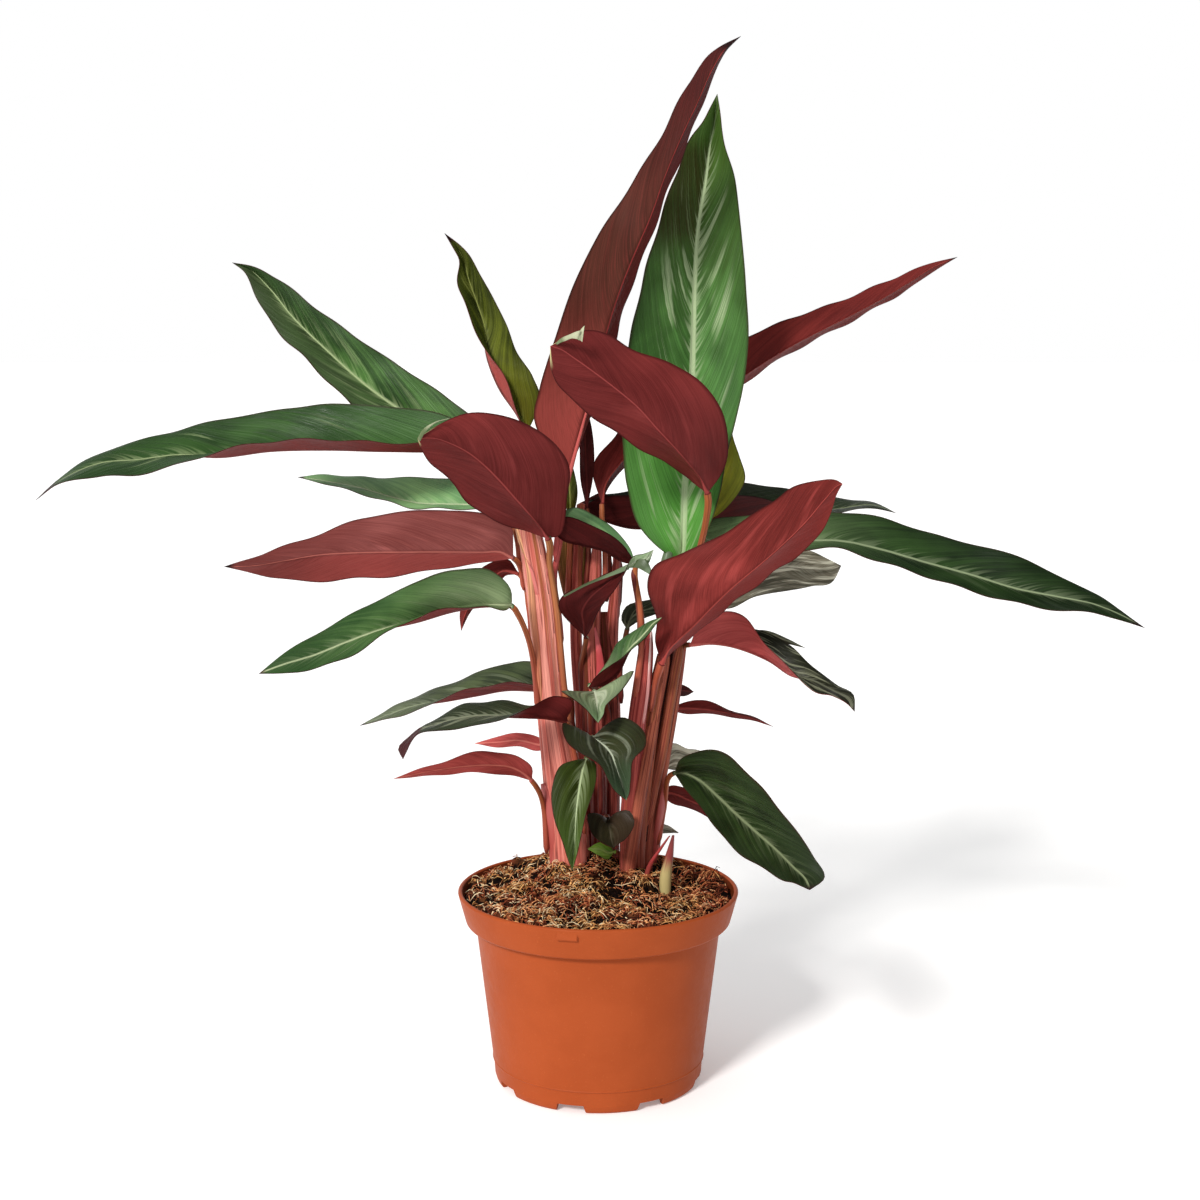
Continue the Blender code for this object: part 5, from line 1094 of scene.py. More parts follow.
class Look(Nodes):
    """One material."""

    def __init__(self, name):
        self.material = bpy.data.materials.new(name)
        self.material.use_nodes = True
        super().__init__(self.material.node_tree)
        self.shader = self.tree.nodes["Principled BSDF"]

    def bump(self, height, strength, distance):
        """Fine relief."""
        made = self.add("ShaderNodeBump", Strength=strength, Distance=distance, Height=height)
        self.plug(self.shader.inputs["Normal"], made.outputs[0])

    def finish(self, colour, roughness, **more):
        """The material, with its shader's inputs set."""
        for label, value in {"Base_Color": colour, "Roughness": roughness, **more}.items():
            self.plug(self.shader.inputs[label.replace("_", " ")], value)
        return self.material


class BladeLook(Look):
    """A blade's material, with the places in the blade's own pattern ready to use."""

    def __init__(self, name):
        super().__init__(name)
        self.across, length = self.uv("size")
        u, self.v = self.uv("place")
        self.from_rib = self.math("ABSOLUTE", self.times(self.across, SIZE_UNIT))
        self.length = self.times(length, SIZE_UNIT)
        self.reach = self.math("ABSOLUTE", self.math("MULTIPLY_ADD", u, 2.0, -1.0))
        slant = self.math("MULTIPLY_ADD", self.reach, VEIN_CURVE, VEIN_SLANT)
        self.vein = self.math("SUBTRACT", self.length, self.times(self.from_rib, slant))
        side = self.times(self.math("SIGN", self.across), 2.7)
        self.own = self.math("MULTIPLY_ADD", self.attribute("seed"), 7.3, side)

    def veins(self, step, drift=0.02, detail=1.0):
        """Noise that runs along the veins, with a swell about every step mm."""
        place = self.vector(self.over(self.vein, step), self.times(self.from_rib, drift), self.own)
        return self.noise(place, 1.0, detail, 0.5)

    def clouds(self, across, along, detail=2.0, roughness=0.5):
        """Noise in soft patches that are long the way the blade is."""
        place = self.vector(self.over(self.from_rib, across), self.over(self.length, along), self.own)
        return self.noise(place, 1.0, detail, roughness)

    def rib(self, width, strength):
        """The midrib's share: a thin line that narrows to the tip."""
        wide = self.math("MULTIPLY_ADD", self.v, -0.65 * width, width)
        return self.span(self.over(self.from_rib, wide), 0.45, 1.0, strength, 0.0)


def toned(colour, times, plus=0.0):
    """A colour made darker or lighter."""
    return tuple(min(1.0, times * c + plus) for c in colour)


# Materials

def leaf_top(name, dark, mid, pale, rib=1.0, rays=0.5, patches=0.4, base=None, tip=(1.0, None), end=None,
             wide=1.2, shade=None, second=None, stripes=0.0, roughness=0.4, gloss=0.2):
    """Upper side: green that darkens to the margin and the point, a pale feathered midrib, pale strokes, and
    where `shade` is given a painted shadow on the first half.
    """
    n = BladeLook(name)
    broad, lines, fine = n.veins(9.0, 0.012), n.veins(3.4, 0.02), n.veins(1.1, 0.03, 2.0)
    strokes, gaps, grain = n.veins(13.0, 0.04), n.veins(7.0, 0.012), n.veins(0.5, 0.2, 2.0)
    cloud = n.clouds(20.0, 36.0)
    blend = n.math("MULTIPLY_ADD", cloud, 0.6, n.times(broad, 0.4))
    ground = n.tints(dark, (mid, blend, 0.38, 0.60, 1.0), (base, n.v, 0.5, 0.02, 0.85),
                     (dark, n.reach, 0.5, 1.0, 0.55), (end or dark, n.v, 0.35, 0.92, 0.8))
    # shade: a painted shadow, a darker band over the first half between two places along the blade, where
    # another leaf would cast it
    if shade:
        low, high, painted_shadow = shade
        painted_shadow_mask = n.times(n.span(n.v, low, low + 0.08), n.span(n.v, high + 0.06, high),
                       n.span(n.across, 0.06, -0.03), 0.9)
        ground = n.mix(painted_shadow_mask, ground, painted_shadow)
    ground = n.tints(ground, (mid, fine, 0.5, 0.68, 0.3), (dark, fine, 0.5, 0.34, 0.4),
                     (second, n.across, 0.0, 0.03, 0.6), (dark, grain, 0.5, 0.3, 0.35))
    if stripes:
        wavy = n.clouds(2.6, 55.0, 3.0, 0.6)
        ground = n.tints(ground, (pale, wavy, 0.52, 0.60, stripes), (dark, wavy, 0.48, 0.40, stripes))
    feather = n.span(n.over(n.from_rib, n.span(lines, 0.42, 0.66, 1.2, 7.0)), 0.05, 1.0, rays, 0.0, False)
    far = n.math("MULTIPLY_ADD", gaps, 1.3, 0.05)
    thin = n.times(n.crossing(lines, 0.03, 0.5 * rays), n.span(gaps, 0.5, 0.62),
                   n.span(n.over(n.reach, far), 0.4, 1.0, 1.0, 0.0))
    stroke = n.times(n.span(strokes, 0.60, 0.68, 0.0, patches), n.span(fine, 0.35, 0.6, 0.45, 1.0),
                     n.span(n.reach, 0.85, 0.5), n.span(n.v, 0.9, 0.7))
    share = n.times(n.most(feather, thin, stroke), n.span(n.v, 0.97, 0.75, 0.2, 1.0))
    colour = n.mix(n.most(share, n.rib(wide, rib)), ground, pale)
    colour = n.tints(colour, (BROWN_MARGIN, n.reach, 0.94, 1.0, 0.8),
                     (tip[1], n.v, tip[0], tip[0] + 0.03, 1.0))
    relief = n.math("MULTIPLY_ADD", fine, 0.8, n.times(lines, 0.8))
    n.bump(n.math("SUBTRACT", relief, n.rib(1.6, 1.0)), 0.6, 0.0007)
    rough = n.span(cloud, 0.3, 0.7, roughness - 0.06, roughness + 0.08)
    return n.finish(colour, rough, IOR=IOR, Specular_IOR_Level=gloss)


def leaf_under(name, deep, bright, rib, bands_share=0.42, tip=(1.0, None), second=None, torn=None, low=None,
               end=None, lights=0.0):
    """Underside: soft bands that follow the veins, a fine raised midrib of its own colour, and where `lights`
    is given painted highlights, pale patches along the veins.
    """
    n = BladeLook(name)
    broad, lines, fine = n.veins(9.0, 0.01), n.veins(3.6, 0.015), n.veins(1.6, 0.03, 2.0)
    grain, cloud = n.veins(0.5, 0.2, 2.0), n.clouds(24.0, 43.2)
    share = n.math("MULTIPLY_ADD", n.span(broad, 0.36, 0.64), bands_share, n.span(cloud, 0.3, 0.7, 0.0, 0.62))
    share = n.math("ADD", share, n.span(fine, 0.35, 0.65, -0.07, 0.07), clamp=True)
    colour = n.mix(share, deep, bright)
    # lights: the share of painted highlights, pale patches that run along the veins
    if lights:
        soft = n.times(n.span(n.veins(15.0, 0.07), 0.54, 0.74, 0.0, lights), n.span(n.reach, 0.95, 0.6))
        colour = n.mix(soft, colour, toned(bright, 1.8, 0.012))
    colour = n.tints(colour, (low, n.v, 0.45, 0.05, 0.9), (second, n.across, 0.0, 0.02, 0.75),
                     (end, n.v, 0.45, 0.9, 0.85), (toned(deep, 0.45), grain, 0.5, 0.3, 0.30),
                     (rib, grain, 0.5, 0.7, 0.16))
    colour = n.mix(n.crossing(lines, 0.03, 0.10), colour, rib)
    colour = n.tints(colour, (deep, n.from_rib, 2.2, 0.7, 0.35))
    colour = n.mix(n.rib(0.9, 0.8), colour, rib)
    colour = n.tints(colour, (toned(deep, 0.35), n.reach, 0.93, 1.0, 0.8))
    if torn:
        at_end = n.times(n.span(n.v, torn, torn + 0.05), n.span(n.reach, 0.80, 0.88))
        colour = n.mix(at_end, colour, TORN_EDGE)
    colour = n.tints(colour, (tip[1], n.v, tip[0], tip[0] + 0.03, 1.0))
    n.bump(n.math("MULTIPLY_ADD", fine, 0.6, n.times(lines, 0.5)), 0.38, 0.0005)
    return n.finish(colour, n.span(cloud, 0.3, 0.7, 0.49, 0.61), IOR=IOR, Specular_IOR_Level=0.05)


def stalk_look(name, foot, top):
    """Stalk: its shoot's colour at the foot, turning orange-brown up to the blade, with streaks."""
    n = Look(name)
    angle, share = n.uv("place")
    length = n.uv("size")[1]
    own = n.times(n.attribute("seed"), 5.0)
    round_x, round_y = n.turn(angle)
    place = n.vector(n.times(round_x, 1.6), n.math("MULTIPLY_ADD", round_y, 1.6, own), n.times(length, 2.0))
    streak = n.noise(place, 1.0, 3.0, 0.6)
    colour = n.tints(foot, (top, share, 0.25, 0.9, 1.0), (toned(foot, 0.35), streak, 0.5, 0.66, 0.6),
                     (toned(top, 1.5, 0.02), streak, 0.46, 0.34, 0.45))
    n.bump(streak, 0.3, 0.0004)
    return n.finish(colour, 0.45, IOR=IOR, Specular_IOR_Level=0.2)


def shoot_look(name, deep, mid, light, brown, low):
    """Leaf sheaths up a shoot: broad strips with dark seams, deeper in colour near the soil."""
    n = Look(name)
    angle, height = n.uv("place")
    seam, share = n.uv("seam")
    own = n.times(n.attribute("seed"), 5.0)
    round_x, round_y = n.turn(angle)

    def streaks(times, climb, detail, shift=0.0):
        """Noise in streaks up the shoot, so many times round it and up it."""
        place = n.vector(n.math("MULTIPLY_ADD", round_x, times, shift), n.times(round_y, times),
                         n.math("MULTIPLY_ADD", height, climb, own))
        return n.noise(place, 1.0, detail, 0.6)
    zones, strips = streaks(1.1, 0.5, 1.0), streaks(2.4, 0.7, 1.0, 4.0)
    streak, fine = streaks(5.0, 1.4, 2.0, 9.0), streaks(12.0, 3.0, 3.0)
    hair = streaks(26.0, 2.0, 2.0, 3.0)
    colour = n.tints(mid, (light, strips, 0.44, 0.56, 1.0), (brown, zones, 0.46, 0.36, 0.9),
                     (low, share, 0.62, 0.16, 0.8), (deep, streak, 0.5, 0.36, 0.45),
                     (light, streak, 0.56, 0.7, 0.5), (deep, fine, 0.48, 0.36, 0.45),
                     (light, fine, 0.56, 0.68, 0.4), (deep, hair, 0.46, 0.38, 0.45),
                     (light, hair, 0.56, 0.66, 0.4))
    crack = n.times(n.crossing(strips, 0.018, 0.75), n.span(fine, 0.35, 0.55))
    colour = n.mix(crack, colour, toned(deep, 0.4))
    colour = n.tints(colour, (toned(deep, 0.25), seam, 0.05, 0.0, 0.9), (brown, seam, 0.93, 1.0, 0.5))
    n.bump(n.math("MULTIPLY_ADD", fine, 0.5, streak), 0.5, 0.0009)
    return n.finish(colour, n.span(fine, 0.3, 0.7, 0.40, 0.52), IOR=IOR, Specular_IOR_Level=0.12)


def pot_look(name, depth=1.0):
    """Terracotta-coloured moulded plastic, with a faint mottle and a satin shine; `depth` darkens every
    colour, for the painted shade of the inner wall.
    """
    n = Look(name)
    where = n.where("Object")
    mottle, speck = n.noise(where, 30.0, 4.0, 0.6), n.noise(where, 900.0, 2.0, 0.6)
    scuff = n.noise(where, 160.0, 5.0, 0.7, 0.6)
    base, spot, worn, rubbed = (toned(colour, depth) for colour in (
        (0.318, 0.060, 0.0155), (0.342, 0.066, 0.0175), (0.52, 0.14, 0.04), (0.50, 0.14, 0.04)))
    colour = n.tints(base, (spot, mottle, 0.35, 0.65, 1.0), (worn, speck, 0.62, 0.75, 0.18),
                     (rubbed, scuff, 0.68, 0.8, 0.2))
    n.bump(n.math("MULTIPLY_ADD", scuff, 0.6, speck), 0.25, 0.0003)
    return n.finish(colour, n.span(scuff, 0.3, 0.75, 0.40, 0.52), IOR=1.46, Specular_IOR_Level=0.07)


def coir_look():
    """Coir fibre, each strand with its own tone from near black to pale straw."""
    n = Look("coir_fibre")
    tone = n.attribute("tone")
    where = n.where("Object")
    grain, patch = n.noise(where, 700.0, 3.0, 0.7), n.noise(where, 45.0, 2.0, 0.5)
    brown = n.tints((0.41, 0.095, 0.042), ((0.52, 0.190, 0.064), patch, 0.42, 0.58, 1.0))
    gold = n.tints((0.88, 0.38, 0.155), ((0.98, 0.56, 0.205), patch, 0.42, 0.58, 1.0))
    # Tone near 0 is near black; on the soil's body it stands for painted shade in the hollows.
    colour = n.tints((0.004, 0.002, 0.0015), (brown, tone, 0.08, 0.42, 1.0), (gold, tone, 0.48, 0.70, 1.0),
                     ((0.99, 0.80, 0.50), tone, 0.76, 0.96, 1.0),
                     ((0.02, 0.008, 0.005), grain, 0.5, 0.3, 0.45))
    n.bump(grain, 0.4, 0.0005)
    return n.finish(colour, 0.85, IOR=1.4, Specular_IOR_Level=0.08)


def bud_look(name, base, top, change=0.62):
    """Young skin: one colour where it starts, another at the point, with darker streaks."""
    n = Look(name)
    angle, share = n.uv("place")
    streak = n.noise(n.vector(n.times(angle, 12.0), n.times(share, 1.5), 0.0), 1.0, 3.0, 0.6)
    climb = n.math("ADD", share, n.times(streak, 0.3))
    colour = n.tints(base, (top, climb, change, change + 0.22, 1.0),
                     (toned(top, 0.4), streak, 0.55, 0.75, 0.35))
    n.bump(streak, 0.3, 0.0004)
    return n.finish(colour, 0.42, IOR=1.42)


def make_looks():
    """All materials, by name."""
    dry, wine, pale = DRY_TIP, WINE_TIP, PALE_GREEN
    looks = (
        pot_look("pot_plastic"),
        # A darker copy of the pot's plastic for its inner wall: painted shade.
        pot_look("pot_plastic_shaded_inside", 0.36),
        coir_look(),
        leaf_top("leaf_green", (0.020, 0.052, 0.013), (0.088, 0.205, 0.048), pale, 0.9, 0.5, 0.3,
                 tip=(0.965, dry), end=(0.010, 0.018, 0.005), wide=2.2, second=(0.050, 0.068, 0.030)),
        # The crown's shade band is the painted shadow of the red crown leaf in front of it.
        leaf_top("leaf_crown", (0.030, 0.085, 0.017), (0.080, 0.210, 0.048), (0.46, 0.56, 0.33), 0.75, 0.6,
                 0.6, base=(0.085, 0.29, 0.040), tip=(0.985, dry), end=(0.044, 0.075, 0.008), wide=3.0,
                 shade=(0.64, 0.86, (0.022, 0.013, 0.0004)), roughness=0.42, gloss=0.12),
        leaf_top("leaf_vivid_green", (0.012, 0.036, 0.007), (0.042, 0.115, 0.020), pale, 0.9, 0.4, 0.4,
                 base=(0.075, 0.17, 0.050), tip=(0.93, dry), roughness=0.32),
        leaf_top("leaf_hanging_green", (0.015, 0.024, 0.002), (0.039, 0.062, 0.006), (0.36, 0.44, 0.24),
                 1.0, 0.5, 0.25, end=(0.10, 0.17, 0.035), roughness=0.36),
        leaf_top("leaf_deep_green", (0.008, 0.015, 0.004), (0.028, 0.052, 0.013), (0.22, 0.26, 0.14), 0.85,
                 0.45, 0.1, tip=(0.965, dry), wide=2.6),
        leaf_top("leaf_long_green", (0.006, 0.016, 0.004), (0.024, 0.056, 0.013), (0.27, 0.33, 0.19), 0.8,
                 0.32, 0.08, base=(0.170, 0.270, 0.110), tip=(0.955, dry), end=(0.004, 0.010, 0.0022),
                 wide=1.8, gloss=0.1),
        # The sheen green's pale grey-green towards the base is painted sheen.
        leaf_top("leaf_sheen_green", (0.028, 0.075, 0.020), (0.095, 0.190, 0.055), (0.46, 0.54, 0.31), 0.95,
                 0.22, 0.15, base=(0.26, 0.34, 0.17), tip=(0.965, wine), end=(0.026, 0.070, 0.018),
                 wide=2.0, roughness=0.32),
        leaf_top("leaf_misty_green", (0.110, 0.240, 0.098), (0.27, 0.48, 0.190), (0.52, 0.60, 0.38), 0.8,
                 0.25, 0.15, base=(0.140, 0.290, 0.120), tip=(0.95, dry), end=(0.08, 0.16, 0.065)),
        leaf_top("leaf_dim_green", (0.020, 0.030, 0.012), (0.070, 0.096, 0.036), (0.32, 0.37, 0.23), 0.7,
                 0.4, 0.3, tip=(0.95, dry), end=(0.105, 0.13, 0.070), wide=1.5),
        leaf_top("leaf_heart_green", (0.014, 0.015, 0.006), (0.038, 0.048, 0.018), (0.52, 0.58, 0.44), 1.0,
                 0.35, 0.28, tip=(0.97, (0.3, 0.35, 0.2)), end=(0.055, 0.100, 0.052), wide=1.6),
        leaf_top("leaf_marbled", (0.060, 0.092, 0.045), (0.31, 0.41, 0.225), (0.70, 0.76, 0.58), 0.8, 0.7,
                 0.45, end=(0.27, 0.39, 0.21)),
        # The grey of these two tops is partly the leaves' own colour and partly painted glare.
        leaf_top("leaf_grey_green", (0.022, 0.027, 0.014), (0.060, 0.070, 0.040), (0.30, 0.31, 0.20), 0.7,
                 0.6, 0.5, tip=(0.95, dry)),
        leaf_top("leaf_ash", (0.056, 0.053, 0.032), (0.29, 0.27, 0.195), (0.60, 0.59, 0.46), 0.5, 0.25, 0.3,
                 tip=(0.97, dry), end=(0.20, 0.185, 0.13), stripes=0.9),
        leaf_top("leaf_striped_green", (0.009, 0.010, 0.004), (0.025, 0.028, 0.013), (0.25, 0.26, 0.17),
                 0.5, 0.3, 0.2, tip=(0.96, dry), wide=1.2, stripes=0.7, gloss=0.14),
        leaf_top("leaf_twisted_green", (0.022, 0.032, 0.015), (0.070, 0.095, 0.050), (0.36, 0.40, 0.27),
                 0.7, 0.55, 0.6, tip=(0.80, wine)),
        leaf_top("leaf_olive", (0.020, 0.027, 0.004), (0.135, 0.160, 0.014), (0.28, 0.31, 0.08), 0.7, 0.3,
                 0.4, base=(0.10, 0.085, 0.001), tip=(0.93, dry), gloss=0.1),
        # The lit olive is a paler copy of the olive for the leaf behind the crown: painted light.
        leaf_top("leaf_lit_olive", (0.24, 0.28, 0.030), (0.58, 0.60, 0.060), (0.60, 0.60, 0.12), 0.5, 0.3,
                 0.2),
        leaf_top("leaf_dusky", (0.012, 0.011, 0.004), (0.034, 0.030, 0.011), (0.10, 0.085, 0.055), 0.6, 0.3,
                 0.2, second=(0.036, 0.020, 0.012)),
        leaf_top("leaf_bright_green", (0.07, 0.20, 0.014), (0.22, 0.44, 0.045), (0.60, 0.74, 0.28), 0.5,
                 0.3, 0.5, end=(0.20, 0.42, 0.035)),
        leaf_under("leaf_maroon", (0.090, 0.011, 0.010), (0.165, 0.021, 0.018), (0.32, 0.055, 0.045),
                   tip=(0.965, dry)),
        leaf_under("leaf_spoon_maroon", (0.108, 0.0150, 0.0146), (0.190, 0.0285, 0.0272),
                   (0.32, 0.058, 0.054), 0.26, torn=0.93, lights=0.25),
        leaf_under("leaf_wine", (0.29, 0.045, 0.043), (0.49, 0.088, 0.082), (0.54, 0.13, 0.11), 0.3,
                   lights=0.2),
        leaf_under("leaf_rosy", (0.145, 0.034, 0.031), (0.240, 0.070, 0.064), (0.52, 0.15, 0.12), 0.2,
                   tip=(0.955, dry), second=(0.42, 0.074, 0.065), end=(0.145, 0.030, 0.027), lights=0.3),
        leaf_under("leaf_lit_rosy", (0.26, 0.039, 0.035), (0.45, 0.075, 0.066), (0.60, 0.16, 0.12)),
        leaf_under("leaf_red", (0.100, 0.0135, 0.0120), (0.215, 0.0300, 0.0262), (0.44, 0.075, 0.062), 0.15,
                   second=(0.18, 0.024, 0.021), lights=0.4),
        leaf_under("leaf_brown_maroon", (0.046, 0.014, 0.0088), (0.082, 0.025, 0.0165),
                   (0.32, 0.040, 0.040), 0.4, tip=(0.94, (0.014, 0.004, 0.004)),
                   second=(0.105, 0.013, 0.015), low=(0.30, 0.053, 0.044), end=(0.042, 0.008, 0.008)),
        leaf_under("leaf_dark_maroon", (0.034, 0.0044, 0.0044), (0.067, 0.0084, 0.0080),
                   (0.095, 0.015, 0.014)),
        stalk_look("leaf_stalk", (0.34, 0.070, 0.042), (0.34, 0.095, 0.032)),
        stalk_look("leaf_stalk_pink", (0.50, 0.095, 0.085), (0.50, 0.085, 0.078)),
        stalk_look("leaf_stalk_dark", (0.15, 0.022, 0.018), (0.19, 0.055, 0.022)),
        stalk_look("leaf_stalk_gold", (0.36, 0.105, 0.045), (0.33, 0.125, 0.045)),
        stalk_look("leaf_stalk_tan", (0.50, 0.15, 0.085), (0.68, 0.34, 0.18)),
        shoot_look("shoot_pink", (0.27, 0.037, 0.029), (0.58, 0.140, 0.105), (0.82, 0.34, 0.27),
                   (0.48, 0.17, 0.062), (0.64, 0.165, 0.125)),
        shoot_look("shoot_red", (0.060, 0.008, 0.007), (0.29, 0.042, 0.034), (0.58, 0.140, 0.110),
                   (0.26, 0.072, 0.028), (0.215, 0.034, 0.027)),
        shoot_look("shoot_front", (0.080, 0.008, 0.007), (0.27, 0.033, 0.029), (0.50, 0.090, 0.074),
                   (0.24, 0.060, 0.021), (0.44, 0.100, 0.070)),
        # shoot_shade is near black, for the painted shade between the right shafts.
        shoot_look("shoot_shade", (0.020, 0.003, 0.002), (0.052, 0.010, 0.007), (0.090, 0.019, 0.013),
                   (0.060, 0.016, 0.007), (0.050, 0.010, 0.007)),
        shoot_look("shoot_brown", (0.070, 0.011, 0.008), (0.24, 0.046, 0.028), (0.44, 0.120, 0.068),
                   (0.27, 0.080, 0.028), (0.42, 0.100, 0.065)),
        bud_look("bud_spear_skin", (0.47, 0.38, 0.160), (0.23, 0.030, 0.028), 0.74),
        bud_look("bud_blade_skin", (0.34, 0.06, 0.045), (0.38, 0.045, 0.045)),
        bud_look("sheath_skin", (0.46, 0.085, 0.072), (0.58, 0.16, 0.14)),
        bud_look("sheath_low_skin", (0.44, 0.085, 0.070), (0.42, 0.085, 0.075)),
        stalk_look("leaf_stalk_blend", (0.23, 0.046, 0.028), (0.40, 0.085, 0.042)),
        bud_look("sheath_hot_skin", (0.50, 0.060, 0.065), (0.66, 0.12, 0.13)),
        # A pale pink-white skin for the painted highlight strip on the front shaft.
        bud_look("sheath_highlight_skin", (0.66, 0.28, 0.26), (0.85, 0.60, 0.56)),
        leaf_under("leaf_plum", (0.064, 0.0080, 0.0078), (0.125, 0.0150, 0.0142), (0.16, 0.026, 0.022)),
        leaf_under("leaf_blush", (0.34, 0.054, 0.050), (0.56, 0.102, 0.095), (0.66, 0.20, 0.16)),
        shoot_look("sheath_dark_skin", (0.045, 0.007, 0.006), (0.15, 0.023, 0.018), (0.34, 0.075, 0.055),
                   (0.16, 0.046, 0.016), (0.12, 0.018, 0.015)),
        shoot_look("sheath_olive_skin", (0.060, 0.020, 0.006), (0.19, 0.070, 0.024), (0.34, 0.15, 0.055),
                   (0.140, 0.075, 0.014), (0.16, 0.045, 0.020)),
        bud_look("torn_skin", (0.13, 0.17, 0.075), (0.40, 0.42, 0.27), 0.4),
        bud_look("green_rim_skin", (0.050, 0.075, 0.030), (0.11, 0.16, 0.085)),
    )
    # A look whose name the frame has too gets a number after a dot.
    return {look.name.split(".")[0]: look for look in looks}


# Pot

def revolve(name, outline, sides):
    """A closed outline of (radius, height) in mm turned round the pot's axis."""
    verts, faces, starts = [], [], []
    for r, z in outline:
        starts.append((len(verts), r > 0))
        for k in range(sides if r > 0 else 1):
            angle = FULL_TURN * k / sides
            verts.append((r * MM * math.cos(angle), r * MM * math.sin(angle), z * MM))
    for (a, wide_a), (b, wide_b) in zip(starts, starts[1:]):
        if wide_a and wide_b:
            faces += band(a, b, sides)
        elif wide_b:
            faces += [(a, b + (k + 1) % sides, b + k) for k in range(sides)]
        else:
            faces += [(a + k, a + (k + 1) % sides, b) for k in range(sides)]
    mesh = bpy.data.meshes.new(name)
    mesh.from_pydata(verts, [], faces)
    outward(mesh)
    return placed(name, mesh)


def rounded(points):
    """An outline with each inner corner replaced by a short curve."""
    out = [points[0]]
    for before, here, after in zip(points, points[1:], points[2:]):
        before, here, after = (np.array(p, dtype=float) for p in (before, here, after))
        back, on = np.linalg.norm(before - here), np.linalg.norm(after - here)
        cut = min(CORNER_RADIUS, back * 0.4, on * 0.4)
        start = here + (before - here) / back * cut
        end = here + (after - here) / on * cut
        for i in range(CORNER_STEPS + 1):
            s = i / CORNER_STEPS
            out.append(tuple((1 - s) ** 2 * start + 2 * s * (1 - s) * here + s ** 2 * end))
    out.append(points[-1])
    return out


def cube():
    """A cube of side 1, to be shaped."""
    bm = bmesh.new()
    bmesh.ops.create_cube(bm, size=1.0)
    return bm


def block(name, bm, angle, reach, height, lean=0.0):
    """A block at a place round the pot's axis, with its back to the axis."""
    mesh = bpy.data.meshes.new(name)
    bm.to_mesh(mesh)
    bm.free()
    thing = placed(name, mesh)
    thing.location = (reach * math.sin(angle) * MM, -reach * math.cos(angle) * MM, height * MM)
    thing.rotation_euler = (math.radians(lean), 0, angle)
    return thing


def notch_block(angle):
    """A notch's block, wider at the bottom than at the top."""
    bm = cube()
    for vert in bm.verts:
        wide = NOTCH_WIDTH + (NOTCH_FLARE if vert.co.z < 0 else -NOTCH_TAPER)
        vert.co.x *= wide * MM
        vert.co.y *= NOTCH_DEPTH * MM
        vert.co.z *= (NOTCH_HEIGHT + NOTCH_BELOW) * MM
    return block("notch", bm, angle, BASE_RADIUS - FOOT_WIDTH / 2, (NOTCH_HEIGHT - NOTCH_BELOW) / 2)


def tab_block(angle):
    """The small rectangular tab under the lip."""
    bm = cube()
    bmesh.ops.scale(bm, vec=[s * MM for s in TAB_SIZE], verts=bm.verts[:])
    bmesh.ops.bevel(bm, geom=bm.edges[:], offset=TAB_EDGE * MM, segments=2, affect="EDGES")
    return block("tab", bm, angle, RIM_RADIUS - TAB_INSET, POT_HEIGHT - TAB_DROP, TAB_LEAN)


def pot_piece(look, shaded_inside_look):
    """The pot: banded rim, tapered body with a fine moulding line, notched foot and a small tab."""
    floor = FLOOR_UNDERSIDE + FLOOR_THICKNESS
    foot = BASE_RADIUS - FOOT_WIDTH
    inside = [(0, floor), (FLOOR_RADIUS, floor), FLOOR_CORNER, (NECK_RADIUS - WALL, NECK - 0.7),
              (69.0, NECK + 1.3), (RIM_RADIUS - WALL - 0.1, POT_HEIGHT - 0.5)]
    outside = [(RIM_RADIUS - 1.2, POT_HEIGHT), (RIM_RADIUS, POT_HEIGHT - 0.9), (BAND_FOOT_RADIUS, NECK + 0.6),
               (BAND_FOOT_RADIUS - 0.8, NECK - 0.2), (NECK_RADIUS, NECK - 1.4), *MOULDING, (56.6, 4.0),
               (BASE_RADIUS - 0.3, 1.0), (BASE_RADIUS - 1.2, 0.0)]
    underside = [(foot, 0.0), (foot - 0.4, FLOOR_UNDERSIDE), (0, FLOOR_UNDERSIDE)]
    pot = revolve("pot_fine", rounded(inside + outside + underside), POT_SIDES)
    turns = [math.radians(FIRST_NOTCH + k * 360.0 / NOTCH_COUNT) for k in range(NOTCH_COUNT)]
    cutters = [("DIFFERENCE", notch_block(angle)) for angle in turns]
    cutters.append(("UNION", tab_block(math.radians(TAB_ANGLE))))
    for operation, other in cutters:
        cut = pot.modifiers.new(other.name, "BOOLEAN")
        cut.operation = operation
        cut.object = other
    bpy.context.view_layer.update()
    graph = bpy.context.evaluated_depsgraph_get()
    mesh = bpy.data.meshes.new_from_object(pot.evaluated_get(graph))
    pot.modifiers.clear()
    pot.data = mesh
    for _, other in cutters:
        bpy.data.objects.remove(other)
    mesh.materials.clear()
    mesh.materials.append(look)
    mesh.materials.append(shaded_inside_look)
    for face in mesh.polygons:
        away = face.center.x * face.normal.x + face.center.y * face.normal.y
        within = FLOOR_UNDERSIDE * MM < face.center.z < (POT_HEIGHT - 1.2) * MM
        # Faces that look inward, inside the wall, take the darker copy: painted shade.
        face.material_index = int(away < 0 and within)
    mesh.shade_smooth()
    mesh.set_sharp_from_angle(angle=math.radians(SHARP_FROM))
    return pot


# Soil

